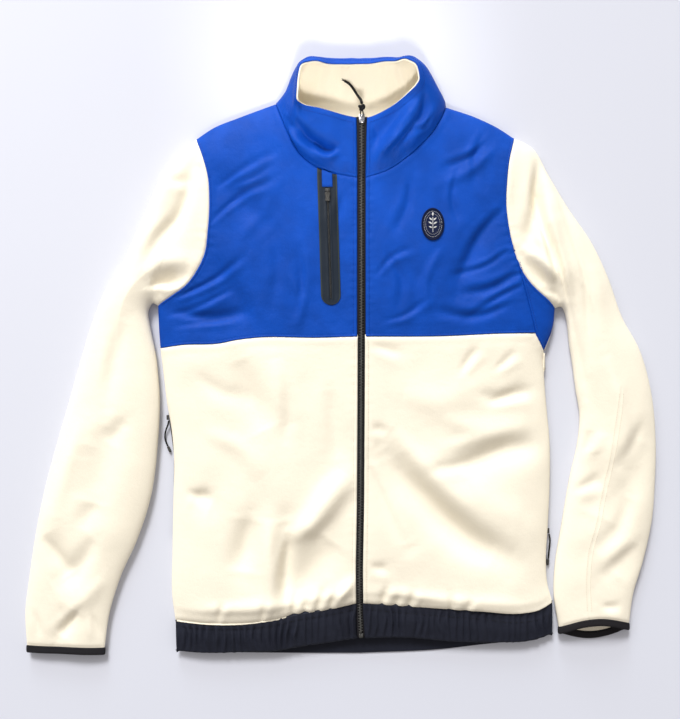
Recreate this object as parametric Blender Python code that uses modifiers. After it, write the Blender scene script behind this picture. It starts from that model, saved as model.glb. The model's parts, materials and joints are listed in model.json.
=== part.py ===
"""Zip-through fleece jacket with woven yokes, laid flat on its back with the front up.

Every panel is a thin wall of cloth. The upper panels are grids laid on one height function, which
rises from the rounded fold edges to a low crown and carries the large folds. The under panels lie
flat and curl up to the same edges. Metres; x runs across from the centre front towards the wearer's
left, y from the hem up to the collar and z up from the surface that the jacket lies on.
"""

import math

import bmesh
import bpy
import numpy as np
from mathutils import Vector
from mathutils.bvhtree import BVHTree

# The jacket's middle, which is moved to the origin.
CENTRE_X = -0.0258
CENTRE_Y = 0.3716

# Cloth.
SEAM_GAP = 0.0003
SHELL_WALL = 0.0014
FLEECE_WALL = 0.0022
LINING_WALL = 0.0019
BINDING_WALL = 0.0026
TAPE_WALL = 0.0007

# Section of the laid body: a rounded fold edge, then a low crown.
EDGE_HEIGHT = 0.0080
EDGE_LIP = 0.0023
EDGE_REACH = 0.0500

# Zip.
ZIP_HALF_GAP_SHELL = 0.0052
ZIP_HALF_GAP_FLEECE = 0.0044
TAPE_SINK = 0.0014
TAPE_FOOT = 0.0240
TAPE_HEAD = 0.6680
TEETH_HALF_WIDTH = 0.0029
TEETH_WALL = 0.0017
TEETH_PROUD = 0.0006
TEETH_FOOT = 0.0300
TEETH_HEAD = 0.6597
ZIP_STATIONS = 26
COLLAR_STATIONS = 10
BOTTOM_BOX = (0.0052, 0.0055, 0.0025)
SLIDER = (0.0074, 0.0110, 0.0036)
SLIDER_Y = 0.6657
BAIL_REACH = 0.0033
BAIL_RISE = 0.0030
BAIL_RADIUS = 0.0006
PULL_LOOP_HALF_WIDTH = 0.0017
PULL_LOOP_FOOT = 0.6672
PULL_LOOP_HEAD = 0.6733
PULL_LOOP_RADIUS = 0.0007
PULL_LOOP_LIFT = 0.0012
KNOT_RADII = (0.0048, 0.0045, 0.0040)
KNOT_Y = 0.6780

# Places up the centre front.
YOKE_SEAM_AT_ZIP = 0.3995
NECK_AT_ZIP = 0.5955

GATHER_PITCH = 0.0090
GATHER_DEPTH = 0.0008
HEM_SWELL = 0.0012

# The zip's line: height up the front, distance across.
ZIP_LINE = [(0.020, 0.000), (0.069, -0.002), (0.198, -0.001), (0.400, 0.000), (0.670, 0.000)]

SIDE_RIGHT = [
    (-0.254, 0.438), (-0.253, 0.414), (-0.251, 0.385), (-0.247, 0.352), (-0.243, 0.318),
    (-0.237, 0.283), (-0.234, 0.245), (-0.235, 0.195), (-0.236, 0.133), (-0.236, 0.072),
    (-0.232, 0.044), (-0.231, 0.025), (-0.231, 0.004),
]  # fmt: skip
SIDE_LEFT = [
    (0.242, 0.435), (0.240, 0.414), (0.228, 0.382), (0.229, 0.345), (0.232, 0.308),
    (0.235, 0.277), (0.236, 0.237), (0.235, 0.198), (0.233, 0.158), (0.231, 0.120),
    (0.233, 0.090), (0.239, 0.068), (0.239, 0.045), (0.239, 0.028),
]  # fmt: skip
ARMHOLE_RIGHT = [
    (-0.254, 0.438), (-0.235, 0.450), (-0.217, 0.463), (-0.204, 0.480), (-0.194, 0.502),
    (-0.190, 0.530), (-0.188, 0.568), (-0.190, 0.597), (-0.197, 0.623), (-0.206, 0.646),
]  # fmt: skip
ARMHOLE_LEFT = [
    (0.242, 0.435), (0.232, 0.445), (0.221, 0.454), (0.208, 0.467), (0.198, 0.482),
    (0.186, 0.516), (0.182, 0.536), (0.179, 0.568), (0.180, 0.590), (0.183, 0.618), (0.191, 0.647),
]  # fmt: skip
SHOULDER_RIGHT = [(-0.206, 0.646), (-0.185, 0.660), (-0.153, 0.673), (-0.107, 0.690)]
SHOULDER_LEFT = [(0.191, 0.647), (0.171, 0.660), (0.144, 0.673), (0.106, 0.686)]
NECK_RIGHT = [
    (-0.0052, 0.5955), (-0.037, 0.602), (-0.059, 0.611), (-0.075, 0.624), (-0.088, 0.645),
    (-0.099, 0.670), (-0.107, 0.690),
]  # fmt: skip
NECK_LEFT = [
    (0.0052, 0.5955), (0.031, 0.604), (0.054, 0.619), (0.072, 0.635), (0.086, 0.650),
    (0.097, 0.667), (0.106, 0.686),
]  # fmt: skip
BACK_NECK_RIGHT = [(0.000, 0.692), (-0.055, 0.692), (-0.090, 0.691), (-0.107, 0.690)]
BACK_NECK_LEFT = [(0.000, 0.692), (0.055, 0.691), (0.090, 0.688), (0.106, 0.686)]
YOKE_SEAM_RIGHT = [
    (-0.251, 0.385), (-0.222, 0.389), (-0.175, 0.391), (-0.155, 0.395), (-0.130, 0.398),
    (-0.054, 0.398), (-0.0052, 0.3995),
]  # fmt: skip
YOKE_SEAM_LEFT = [(0.2160, 0.404), (0.167, 0.403), (0.102, 0.400), (0.0052, 0.3995)]
# The back yoke comes round the left fold: its edge lies on the lower front, then on the front yoke.
WRAP_CORNER = [(0.228, 0.382), (0.2160, 0.404)]
WRAP_SEAM = [(0.2160, 0.404), (0.210, 0.428), (0.200, 0.466)]
HEM_SEAM_RIGHT = [
    (-0.232, 0.046), (-0.200, 0.043), (-0.139, 0.043), (-0.108, 0.047), (-0.077, 0.054),
    (-0.045, 0.059), (-0.0060, 0.067),
]  # fmt: skip
HEM_SEAM_LEFT = [
    (0.239, 0.063), (0.220, 0.054), (0.199, 0.051), (0.147, 0.055), (0.084, 0.060), (0.0035, 0.067),
]  # fmt: skip
HEM_FOOT_RIGHT = [
    (-0.231, 0.007), (-0.201, 0.005), (-0.139, 0.006), (-0.107, 0.007), (-0.080, 0.012),
    (-0.045, 0.017), (-0.0046, 0.023),
]  # fmt: skip
HEM_FOOT_LEFT = [
    (0.239, 0.028), (0.216, 0.021), (0.160, 0.018), (0.117, 0.019), (0.051, 0.024), (0.0044, 0.023),
]  # fmt: skip
BACK_YOKE_SEAM_RIGHT = [(-0.251, 0.385), (-0.120, 0.391), (0.000, 0.392)]
BACK_YOKE_SEAM_LEFT = [(0.228, 0.382), (0.120, 0.391), (0.000, 0.392)]
BACK_HEM_SEAM_RIGHT = [(-0.232, 0.046), (-0.120, 0.045), (0.000, 0.046)]
BACK_HEM_SEAM_LEFT = [(0.239, 0.063), (0.120, 0.050), (0.000, 0.046)]
BACK_HEM_FOOT_RIGHT = [(-0.231, 0.005), (-0.170, 0.003), (-0.074, 0.002), (0.000, 0.002)]
BACK_HEM_FOOT_LEFT = [
    (0.239, 0.026), (0.200, 0.018), (0.147, 0.012), (0.104, 0.007), (0.000, 0.002),
]  # fmt: skip

# Height of the crown, by distance above the hem seam.
CROWN = [
    (-0.060, 0.0105), (-0.020, 0.0128), (0.000, 0.0122), (0.006, 0.0150), (0.016, 0.0178),
    (0.060, 0.0190), (0.200, 0.0205), (0.350, 0.0215), (0.480, 0.0225), (0.600, 0.0225),
]  # fmt: skip

# Sleeves, from the armhole to the cuff: the outer and inner fold edges, the crown's height between
# them, and how much of the armhole's bow the section still has.
SLEEVE_TABLE_COLUMNS = ("outer_x", "outer_y", "inner_x", "inner_y", "crown", "bow")
SLEEVE_RIGHT = [
    (-0.206, 0.646, -0.254, 0.438, 0.0225, 1.00),
    (-0.240, 0.615, -0.259, 0.441, 0.0240, 0.68),
    (-0.272, 0.550, -0.264, 0.437, 0.0265, 0.32),
    (-0.299, 0.491, -0.266, 0.425, 0.0270, 0.10),
    (-0.320, 0.457, -0.263, 0.408, 0.0250, 0.04),
    (-0.335, 0.420, -0.258, 0.384, 0.0235, 0.00),
    (-0.351, 0.368, -0.254, 0.352, 0.0230, 0.00),
    (-0.366, 0.315, -0.252, 0.318, 0.0230, 0.00),
    (-0.381, 0.263, -0.254, 0.270, 0.0230, 0.00),
    (-0.395, 0.211, -0.262, 0.204, 0.0220, 0.00),
    (-0.407, 0.152, -0.280, 0.146, 0.0210, 0.00),
    (-0.415, 0.098, -0.301, 0.099, 0.0190, 0.00),
    (-0.420, 0.054, -0.315, 0.053, 0.0170, 0.00),
    (-0.418, 0.014, -0.321, 0.011, 0.0145, 0.00),
]
SLEEVE_LEFT = [
    (0.191, 0.647, 0.242, 0.435, 0.0225, 1.00),
    (0.213, 0.636, 0.248, 0.437, 0.0240, 0.76),
    (0.234, 0.601, 0.253, 0.433, 0.0270, 0.44),
    (0.259, 0.559, 0.256, 0.424, 0.0285, 0.22),
    (0.286, 0.520, 0.258, 0.411, 0.0270, 0.08),
    (0.307, 0.477, 0.260, 0.391, 0.0255, 0.02),
    (0.326, 0.424, 0.264, 0.366, 0.0240, 0.00),
    (0.348, 0.383, 0.268, 0.335, 0.0235, 0.00),
    (0.363, 0.327, 0.273, 0.302, 0.0230, 0.00),
    (0.368, 0.270, 0.270, 0.266, 0.0225, 0.00),
    (0.367, 0.216, 0.260, 0.221, 0.0220, 0.00),
    (0.363, 0.168, 0.250, 0.163, 0.0215, 0.00),
    (0.352, 0.118, 0.242, 0.114, 0.0210, 0.00),
    (0.340, 0.078, 0.241, 0.075, 0.0205, 0.00),
    (0.335, 0.042, 0.247, 0.037, 0.0195, 0.00),
]
BINDING_LENGTH = 0.0092
CUFF_TILT_LEFT = 0.0100

# The collar's outer face, above the neck seam. `round` counts the seam's quarters: 0 at the zip's
# right edge, 1 at the right shoulder, 2 at the centre back, 3 at the left shoulder, 4 at the zip.
COLLAR_COLUMNS = ("round", "mid_x", "mid_y", "mid_z", "top_x", "top_y", "top_z")
COLLAR = [
    (0.00, -0.0056, 0.632, 0.0310, -0.0062, 0.666, 0.0330),
    (0.22, -0.0360, 0.639, 0.0330, -0.0300, 0.671, 0.0350),
    (0.37, -0.0580, 0.645, 0.0340, -0.0530, 0.677, 0.0370),
    (0.51, -0.0760, 0.655, 0.0350, -0.0700, 0.683, 0.0420),
    (0.67, -0.0880, 0.670, 0.0340, -0.0780, 0.692, 0.0470),
    (0.86, -0.0935, 0.690, 0.0310, -0.0790, 0.703, 0.0500),
    (1.00, -0.0930, 0.707, 0.0280, -0.0780, 0.714, 0.0520),
    (1.08, -0.0890, 0.722, 0.0260, -0.0750, 0.725, 0.0520),
    (1.21, -0.0750, 0.735, 0.0240, -0.0620, 0.731, 0.0500),
    (1.49, -0.0460, 0.737, 0.0220, -0.0390, 0.729, 0.0470),
    (2.00, 0.0000, 0.736, 0.0210, 0.0000, 0.730, 0.0450),
    (2.52, 0.0460, 0.735, 0.0220, 0.0380, 0.733, 0.0470),
    (2.79, 0.0740, 0.732, 0.0240, 0.0570, 0.734, 0.0500),
    (2.92, 0.0870, 0.719, 0.0260, 0.0680, 0.725, 0.0520),
    (3.00, 0.0930, 0.704, 0.0280, 0.0710, 0.713, 0.0500),
    (3.15, 0.0910, 0.688, 0.0320, 0.0670, 0.702, 0.0460),
    (3.29, 0.0830, 0.674, 0.0350, 0.0560, 0.693, 0.0410),
    (3.44, 0.0680, 0.661, 0.0360, 0.0420, 0.683, 0.0370),
    (3.61, 0.0500, 0.650, 0.0350, 0.0270, 0.674, 0.0350),
    (3.81, 0.0290, 0.640, 0.0330, 0.0140, 0.668, 0.0340),
    (4.00, 0.0056, 0.632, 0.0310, 0.0062, 0.666, 0.0330),
]

# Large folds of the upper cloth: height above or below it, width, and the line it runs along.
FOLD_COLUMNS = ("rise", "width", "line")
FOLDS = [
    (-0.0050, 0.013, [(-0.203, 0.635), (-0.218, 0.585), (-0.232, 0.545), (-0.262, 0.495)]),
    (0.0030, 0.014, [(-0.250, 0.600), (-0.262, 0.550), (-0.277, 0.500)]),
    (-0.0050, 0.010, [(-0.262, 0.466), (-0.245, 0.470), (-0.222, 0.474)]),
    (0.0030, 0.012, [(-0.255, 0.486), (-0.235, 0.492), (-0.212, 0.492)]),
    (-0.0040, 0.018, [(-0.395, 0.155), (-0.362, 0.100)]),
    (-0.0030, 0.016, [(-0.352, 0.060), (-0.376, 0.026)]),
    (-0.0030, 0.022, [(-0.305, 0.290), (-0.335, 0.190)]),
    (-0.0060, 0.012, [(0.220, 0.625), (0.216, 0.560), (0.209, 0.515)]),
    (0.0040, 0.012, [(0.236, 0.585), (0.236, 0.540), (0.252, 0.470), (0.262, 0.420)]),
    (-0.0045, 0.013, [(0.240, 0.550), (0.254, 0.500), (0.268, 0.440), (0.272, 0.350)]),
    (0.0030, 0.010, [(0.197, 0.515), (0.218, 0.492), (0.242, 0.468)]),
    (-0.0045, 0.009, [(0.205, 0.500), (0.226, 0.470), (0.248, 0.452)]),
    (-0.0040, 0.016, [(0.282, 0.258), (0.292, 0.215), (0.276, 0.180)]),
    (-0.0040, 0.020, [(0.355, 0.270), (0.330, 0.215), (0.300, 0.170)]),
    (-0.0035, 0.016, [(0.350, 0.135), (0.318, 0.100)]),
    (-0.0050, 0.013, [(-0.095, 0.175), (-0.094, 0.120), (-0.094, 0.075)]),
    (0.0030, 0.013, [(-0.072, 0.150), (-0.050, 0.195), (-0.020, 0.225)]),
    (-0.0035, 0.020, [(-0.137, 0.175), (-0.148, 0.105)]),
    (0.0030, 0.010, [(-0.030, 0.065), (-0.012, 0.095)]),
    (-0.0030, 0.014, [(-0.210, 0.200), (-0.185, 0.190)]),
    (-0.0045, 0.020, [(0.040, 0.260), (0.080, 0.200), (0.130, 0.148), (0.185, 0.120)]),
    (-0.0040, 0.022, [(0.125, 0.225), (0.160, 0.250), (0.225, 0.275)]),
    (0.0030, 0.018, [(0.090, 0.240), (0.140, 0.200), (0.205, 0.165)]),
    (-0.0030, 0.010, [(0.016, 0.245), (0.034, 0.200), (0.060, 0.140)]),
    (-0.0030, 0.013, [(-0.190, 0.500), (-0.160, 0.455), (-0.140, 0.410)]),
    (-0.0030, 0.013, [(-0.235, 0.435), (-0.195, 0.420), (-0.150, 0.425)]),
    (-0.0030, 0.014, [(0.175, 0.560), (0.140, 0.510), (0.110, 0.440)]),
    (-0.0030, 0.014, [(-0.180, 0.600), (-0.140, 0.560), (-0.110, 0.530)]),
]

# Chest pocket: its welded tape, the zip's line down it and the garage at its top.
POCKET_LINE = [(0.4390, -0.0375), (0.5200, -0.0400), (0.5960, -0.0425)]
POCKET_FOOT = 0.4385
POCKET_HALF_WIDTH = 0.0122
POCKET_TAPE_WALL = 0.0006
POCKET_NECK_MARGIN = 0.0014
ON_CLOTH_GAP = 0.0006
GARAGE_HALF_WIDTH = 0.0065
GARAGE_FOOT = 0.5835
GARAGE_WALL = 0.0009
COIL_HALF_WIDTH = 0.0014
COIL_WALL = 0.0007
COIL_FOOT = 0.4470
COIL_HEAD = 0.5735
POCKET_SLIDER = (0.0060, 0.0080, 0.0022)
POCKET_SLIDER_Y = 0.5780
PULL_BAR_LIFT = 0.0020
PULL_BAR_HALF_WIDTH = 0.0022
PULL_BAR_RADIUS = 0.0006
PULL_EYE_OUTER = 0.0017
PULL_EYE_INNER = 0.0010
PULL_EYE_HALF_WIDTH = 0.0011
PULL_TAB = (0.0072, 0.0112, 0.0018)
PULL_TAB_START = 0.0013
PULL_TAB_DROOP = math.radians(9.0)

BADGE_X = 0.0880
BADGE_Y = 0.5380
BADGE_HALF_WIDTH = 0.0138
BADGE_HALF_HEIGHT = 0.0200
BADGE_WALL = 0.0009

# Pull cords, as routes of x, y and z.
CORD_RADIUS = 0.0017
ZIP_CORD = [
    (0.0000, 0.6834, 0.0368), (-0.0010, 0.6880, 0.0335), (-0.0030, 0.6930, 0.0270),
    (-0.0050, 0.6980, 0.0205), (-0.0075, 0.7030, 0.0172), (-0.0110, 0.7080, 0.0175),
    (-0.0160, 0.7130, 0.0192), (-0.0210, 0.7155, 0.0205),
]  # fmt: skip
CORD_STATIONS = 18
LOOP_RADIUS = 0.0010
LOOP_RIGHT = [
    (-0.2412, 0.2940, 0.0056), (-0.2424, 0.2890, 0.0048), (-0.2445, 0.2840, 0.0038),
    (-0.2462, 0.2780, 0.0028), (-0.2464, 0.2720, 0.0023), (-0.2450, 0.2665, 0.0021),
    (-0.2430, 0.2620, 0.0021),
]  # fmt: skip
LOOP_LEFT = [
    (0.2356, 0.1520, 0.0056), (0.2366, 0.1480, 0.0048), (0.2372, 0.1430, 0.0036),
    (0.2370, 0.1380, 0.0026), (0.2364, 0.1320, 0.0021), (0.2358, 0.1260, 0.0021),
    (0.2352, 0.1205, 0.0021),
]  # fmt: skip
LOOP_STATIONS = 12
GRIP_LENGTH = 0.0080
GRIP_RADIUS = 0.0018
SIDE_ZIP_RIGHT = (0.1450, 0.3040)
SIDE_ZIP_LEFT = (0.1150, 0.1620)
SIDE_ZIP_OUTER = (0.0004, 0.0045)
SIDE_ZIP_INNER = (-0.0016, 0.0018)
SIDE_SLIDER = (0.0020, 0.0060, 0.0034)
SIDE_SLIDER_OUT = 0.0022
SIDE_SLIDER_Z = 0.0046
SIDE_SLIDER_LEAN = math.radians(37.0)

# Rows and columns of the panels' grids, as shares. Panels that meet share them along their seam.
YOKE_ROWS = [0.0, 0.010, 0.070, 0.130, 0.170, 0.180, 0.192, 0.240, 0.320, 0.410, 0.500, 0.595]
YOKE_ROWS = YOKE_ROWS + [0.690, 0.740, 0.790, 0.840, 0.890, 0.935, 0.972, 0.991, 1.0]
ARMPIT_ROW = 0.180
WRAP_ROW = 0.500
CORNER_ROW = 0.690
COLUMNS = [0.0, 0.003, 0.012, 0.050, 0.120, 0.220, 0.340, 0.470, 0.600, 0.730, 0.860, 0.985, 1.0]
BACK_COLUMNS = [0.0, 0.003, 0.012, 0.050, 0.200, 0.400, 0.600, 0.800, 1.0]
WRAPPED_COLUMNS = [0.0] + COLUMNS[2:]
WRAP_CORNER_COLUMN = 0.100
LOWER_ROWS = [0.0, 0.010, 0.035, 0.070] + list(np.linspace(0.16, 0.90, 9)) + [0.965, 0.992, 1.0]
FLAT_ROWS = [0.0, 0.010] + list(np.linspace(0.20, 0.80, 4)) + [0.990, 1.0]
SLEEVE_ROWS = [0.0, 0.006, 0.035, 0.075, 0.12, 0.17, 0.22, 0.28, 0.35, 0.42, 0.50, 0.58, 0.66, 0.74]
SLEEVE_ROWS = SLEEVE_ROWS + [0.82, 0.89, 0.95, 1.0]
COLLAR_ROWS = [0.0, 0.05, 0.22, 0.42, 0.62, 0.82, 0.96, 1.0]
SLEEVE_ROWS_UNDER = [0.0, 0.006, 0.035, 0.075, 0.12, 0.17, 0.30, 0.48, 0.70, 1.0]

# Colour, roughness and metallic value of each finish.
FINISHES = {
    "blue_shell": ((0.020, 0.095, 0.520, 1), 0.55, 0.0),
    "cream_fleece": ((0.860, 0.800, 0.680, 1), 0.95, 0.0),
    "navy_elastic": ((0.022, 0.030, 0.055, 1), 0.80, 0.0),
    "black_binding": ((0.020, 0.020, 0.024, 1), 0.80, 0.0),
    "zip_black": ((0.018, 0.018, 0.021, 1), 0.55, 0.0),
    "zip_tape_black": ((0.020, 0.020, 0.024, 1), 0.85, 0.0),
    "silver_metal": ((0.560, 0.560, 0.570, 1), 0.30, 1.0),
    "pocket_charcoal": ((0.040, 0.055, 0.075, 1), 0.50, 0.0),
    "badge_navy": ((0.012, 0.018, 0.055, 1), 0.75, 0.0),
    "cord_black": ((0.018, 0.018, 0.020, 1), 0.85, 0.0),
    "moulded_black": ((0.022, 0.022, 0.025, 1), 0.45, 0.0),
}


def through(at, values, wanted):
    """Values read at `wanted` from the smooth curve that passes through (at, values)."""
    at = np.asarray(at, float)
    values = np.asarray(values, float).reshape(len(at), -1)
    gaps = np.diff(at)[:, None]
    slopes = np.diff(values, axis=0) / gaps
    inner = (slopes[:-1] * gaps[1:] + slopes[1:] * gaps[:-1]) / (gaps[:-1] + gaps[1:])
    tangents = np.vstack([slopes[:1], inner, slopes[-1:]])
    wanted = np.clip(np.asarray(wanted, float), at[0], at[-1])
    left = np.clip(np.searchsorted(at, wanted, side="right") - 1, 0, len(at) - 2)
    gap = gaps[left]
    t = ((wanted - at[left]) / gap[..., 0])[..., None]
    from_left = values[left] * (1 + 2 * t) * (1 - t) ** 2 + tangents[left] * gap * t * (1 - t) ** 2
    from_right = values[left + 1] * t**2 * (3 - 2 * t) - tangents[left + 1] * gap * t**2 * (1 - t)
    return from_left + from_right


def edge(*tables):
    """A function of the share, 0 to 1, along the smooth edge through one or more tables of points.

    Where tables meet, the edge may have a corner, and each takes its share of the length.
    """
    parts = [np.asarray(table, float) for table in tables]
    runs = [np.linalg.norm(np.diff(part, axis=0), axis=1) for part in parts]
    ends = np.concatenate([[0], np.cumsum([run.sum() for run in runs])])
    ends = ends / ends[-1]

    def at(share):
        share = np.asarray(share, float)
        found = np.zeros(share.shape + (2,))
        for index, (part, run) in enumerate(zip(parts, runs)):
            low, high = ends[index], ends[index + 1]
            mine = (share >= low) if index else (share >= -1)
            stations = np.concatenate([[0], np.cumsum(run)]) / run.sum()
            local = through(stations, part, (share - low) / (high - low))
            found = np.where(mine[..., None], local, found)
        return found

    return at


def knotted(curve, *knots):
    """The same edge read by row share, so that named places fall on chosen rows: (row, share)."""
    rows = [knot[0] for knot in knots]
    shares = [knot[1] for knot in knots]
    return lambda row: curve(np.interp(row, rows, shares))


def backwards(table):
    return list(reversed(table))


def sleeve_rails(table):
    rows = np.asarray(table)
    steps = np.linalg.norm(np.diff((rows[:, 0:2] + rows[:, 2:4]) / 2, axis=0), axis=1)
    stations = np.concatenate([[0], np.cumsum(steps)])
    return stations / stations[-1], rows


def line_distance(x, y, line):
    """Distance from each point to a polyline, and the share along it of the nearest place."""
    line = np.asarray(line, float)
    starts, steps = line[:-1], np.diff(line, axis=0)
    lengths = np.linalg.norm(steps, axis=1)
    away_x = x[..., None] - starts[:, 0]
    away_y = y[..., None] - starts[:, 1]
    t = np.clip((away_x * steps[:, 0] + away_y * steps[:, 1]) / lengths**2, 0, 1)
    distance = np.hypot(away_x - t * steps[:, 0], away_y - t * steps[:, 1])
    nearest = distance.argmin(axis=-1)[..., None]
    before = np.concatenate([[0], np.cumsum(lengths)[:-1]])
    share = (before + t * lengths) / lengths.sum()
    return (
        np.take_along_axis(distance, nearest, -1)[..., 0],
        np.take_along_axis(share, nearest, -1)[..., 0],
    )


def sleeve_edge(table, first_column):
    stations, rows = sleeve_rails(table)
    shares = np.linspace(0, 1, 160)
    return through(stations, rows[:, first_column : first_column + 2], shares)


SAMPLED = np.linspace(0, 1, 160)
FOLD_EDGES = [
    edge(SIDE_RIGHT)(SAMPLED),
    edge(SIDE_LEFT)(SAMPLED),
    edge(SHOULDER_RIGHT)(SAMPLED),
    edge(SHOULDER_LEFT)(SAMPLED),
    sleeve_edge(SLEEVE_RIGHT, 0),
    sleeve_edge(SLEEVE_RIGHT, 2),
    sleeve_edge(SLEEVE_LEFT, 0),
    sleeve_edge(SLEEVE_LEFT, 2),
]
FOLD_LINES = [(rise, width, edge(line)(np.linspace(0, 1, 16))) for rise, width, line in FOLDS]


def fold_distance(x, y):
    return np.min([line_distance(x, y, line)[0] for line in FOLD_EDGES], axis=0)


def hem_seam_height(x):
    right = np.asarray(HEM_SEAM_RIGHT)
    left = np.asarray(backwards(HEM_SEAM_LEFT))
    both = np.vstack([right, left])
    return np.interp(x, both[:, 0], both[:, 1])


def body_crown(x, y):
    table = np.asarray(CROWN)
    return np.interp(y - hem_seam_height(x), table[:, 0], table[:, 1])


def folds(x, y):
    """The sum of the large folds: each is a soft ridge or trough that fades at its two ends."""
    total = np.zeros(np.shape(x))
    for rise, width, line in FOLD_LINES:
        distance, share = line_distance(x, y, line)
        fade = np.sqrt(np.clip(np.sin(np.pi * np.clip(share, 0.04, 0.96)), 0, 1))
        total = total + rise * fade * np.exp(-((distance / width) ** 2))
    return total


def top_height(x, y, u=None, v=None, crown=None):
    """Height of the upper cloth's outer face."""
    if crown is None:
        crown = body_crown(x, y)
    inward = np.clip(fold_distance(x, y) / EDGE_REACH, 0, 1)
    rise = np.sqrt(1 - (1 - inward) ** 2)
    level = EDGE_HEIGHT + SEAM_GAP
    return level + (crown - level) * rise + folds(x, y) * rise**2


def under_height(x, y, u=None, v=None):
    """Height of the under cloth's outer face: flat, and curled up at the fold edges."""
    inward = np.clip(fold_distance(x, y) / EDGE_HEIGHT, 0, 1)
    return EDGE_HEIGHT * (1 - np.sqrt(1 - (1 - inward) ** 2))


def patch(left, right, bottom, top, u, v, bottom_weight=None):
    """A four-sided panel between its edge curves, each a function of the share along it."""
    weight = 1 - v if bottom_weight is None else bottom_weight(v)
    weight = weight[..., None]
    across = u[..., None]
    up = v[..., None]
    plain = (1 - across) * left(v) + across * right(v)
    foot = bottom(u) - (1 - across) * bottom(np.zeros_like(u)) - across * bottom(np.ones_like(u))
    head = top(u) - (1 - across) * top(np.zeros_like(u)) - across * top(np.ones_like(u))
    return plain + weight * foot + up * head


def cloth_grid(us, vs, lay, height, fold_rows=None, far_fold=False, top_fold=False, under=False):
    """Points of one panel, row by row from its foot and column by column from its outer edge.

    Along a fold edge the first two columns share one line across and differ in height, which makes
    the short upright lip that faces the panel on the other side of the seam.
    """
    rows, cols = len(vs), len(us)
    u = np.tile(np.asarray(us, float), (rows, 1))
    v = np.tile(np.asarray(vs, float)[:, None], (1, cols))
    folded = np.zeros(rows, bool) if fold_rows is None else np.asarray(fold_rows)
    u[folded, 1] = 0.0
    if far_fold:
        u[:, -2] = 1.0
    if top_fold:
        v[-2, :] = 1.0
    flat = lay(u, v)
    z = height(flat[..., 0], flat[..., 1], u, v)
    seam = EDGE_HEIGHT if under else EDGE_HEIGHT + SEAM_GAP
    lip = seam - EDGE_LIP if under else seam + EDGE_LIP
    beyond = np.minimum if under else np.maximum
    z[folded, 2] = beyond(z[folded, 2], lip)
    z[folded, 1] = lip
    z[folded, 0] = seam
    if far_fold:
        z[:, -3] = beyond(z[:, -3], lip)
        z[:, -2] = lip
        z[:, -1] = seam
    if top_fold:
        z[-3, :] = beyond(z[-3, :], lip)
        z[-2, :] = lip
        z[-1, :] = seam
    return np.concatenate([flat, z[..., None]], axis=2)


def finish(name):
    material = bpy.data.materials.get(name) or bpy.data.materials.new(name)
    colour, roughness, metallic = FINISHES[name]
    material.use_nodes = True
    shader = material.node_tree.nodes["Principled BSDF"]
    shader.inputs["Base Color"].default_value = colour
    shader.inputs["Roughness"].default_value = roughness
    shader.inputs["Metallic"].default_value = metallic
    material.diffuse_color = colour
    return material


def add_object(name, mesh, material):
    piece = bpy.data.objects.new(name, mesh)
    piece.data.materials.append(finish(material))
    JACKET.objects.link(piece)
    piece.parent = LAID
    return piece


def grid_into(bm, points, flip):
    """One grid of quads moved to the panel's points. `flip` turns its face over."""
    if flip:
        points = points[:, ::-1]
    rows, cols = points.shape[:2]
    made = bmesh.ops.create_grid(bm, x_segments=cols - 1, y_segments=rows - 1, size=1)
    for vert, point in zip(made["verts"], points.reshape(-1, 3)):
        vert.co = point


def cloth(name, grids, material, wall, flips, weld=False):
    """A panel of cloth: one or more grids, welded where they meet, with the wall on their inside."""
    bm = bmesh.new()
    for points, flip in zip(grids, flips):
        grid_into(bm, points, flip)
    if weld:
        bmesh.ops.remove_doubles(bm, verts=bm.verts, dist=1e-6)
    mesh = bpy.data.meshes.new(name)
    bm.to_mesh(mesh)
    bm.free()
    mesh.shade_smooth()
    piece = add_object(name, mesh, material)
    thicken(piece, wall)
    return piece


def thicken(piece, wall):
    solidify = piece.modifiers.new("wall", "SOLIDIFY")
    solidify.thickness = wall
    solidify.offset = -1
    return solidify


def moved_in(points, distance):
    """The points of a grid whose outer face looks against its normals, moved to its inside."""
    bm = bmesh.new()
    grid_into(bm, points, True)
    bm.normal_update()
    found = np.asarray([vert.co - vert.normal * distance for vert in bm.verts])
    bm.free()
    return found.reshape(points.shape)[:, ::-1]


def zip_x(y):
    table = np.asarray(ZIP_LINE)
    return through(table[:, 0], table[:, 1], y)[..., 0]


def collar_point(base, around, up):
    """Points of the collar's outer face over the neck seam's points: `up` is 0 there, 1 at the top."""
    rows = np.asarray(COLLAR)
    middle = through(rows[:, 0], rows[:, 1:4], around)
    top = through(rows[:, 0], rows[:, 4:7], around)
    t = np.asarray(up, float)[..., None]
    return base * (1 - t) * (1 - 2 * t) + middle * 4 * t * (1 - t) + top * t * (2 * t - 1)


def neck_ring():
    """The neck seam's points, taken from the yokes from the zip right round to the zip, and how far
    round each one is in quarters."""
    rows = np.asarray(YOKE_ROWS)
    lip_row = 2
    rows = [i for i in range(len(rows)) if rows[i] >= CORNER_ROW and i != len(rows) - lip_row]
    quarters = [
        yoke_half("right", False)[rows, -1],
        yoke_half("right", True)[rows, -1][::-1],
        yoke_half("left", True)[rows, -1],
        yoke_half("left", False)[rows, -1][::-1],
    ]
    points, turns = [], []
    for index, quarter in enumerate(quarters):
        steps = np.linalg.norm(np.diff(quarter[:, :2], axis=0), axis=1)
        shares = np.concatenate([[0], np.cumsum(steps)]) / steps.sum()
        keep = slice(1, None) if index else slice(None)
        points.append(quarter[keep])
        turns.append(index + shares[keep])
    return np.vstack(points), np.concatenate(turns)


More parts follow.
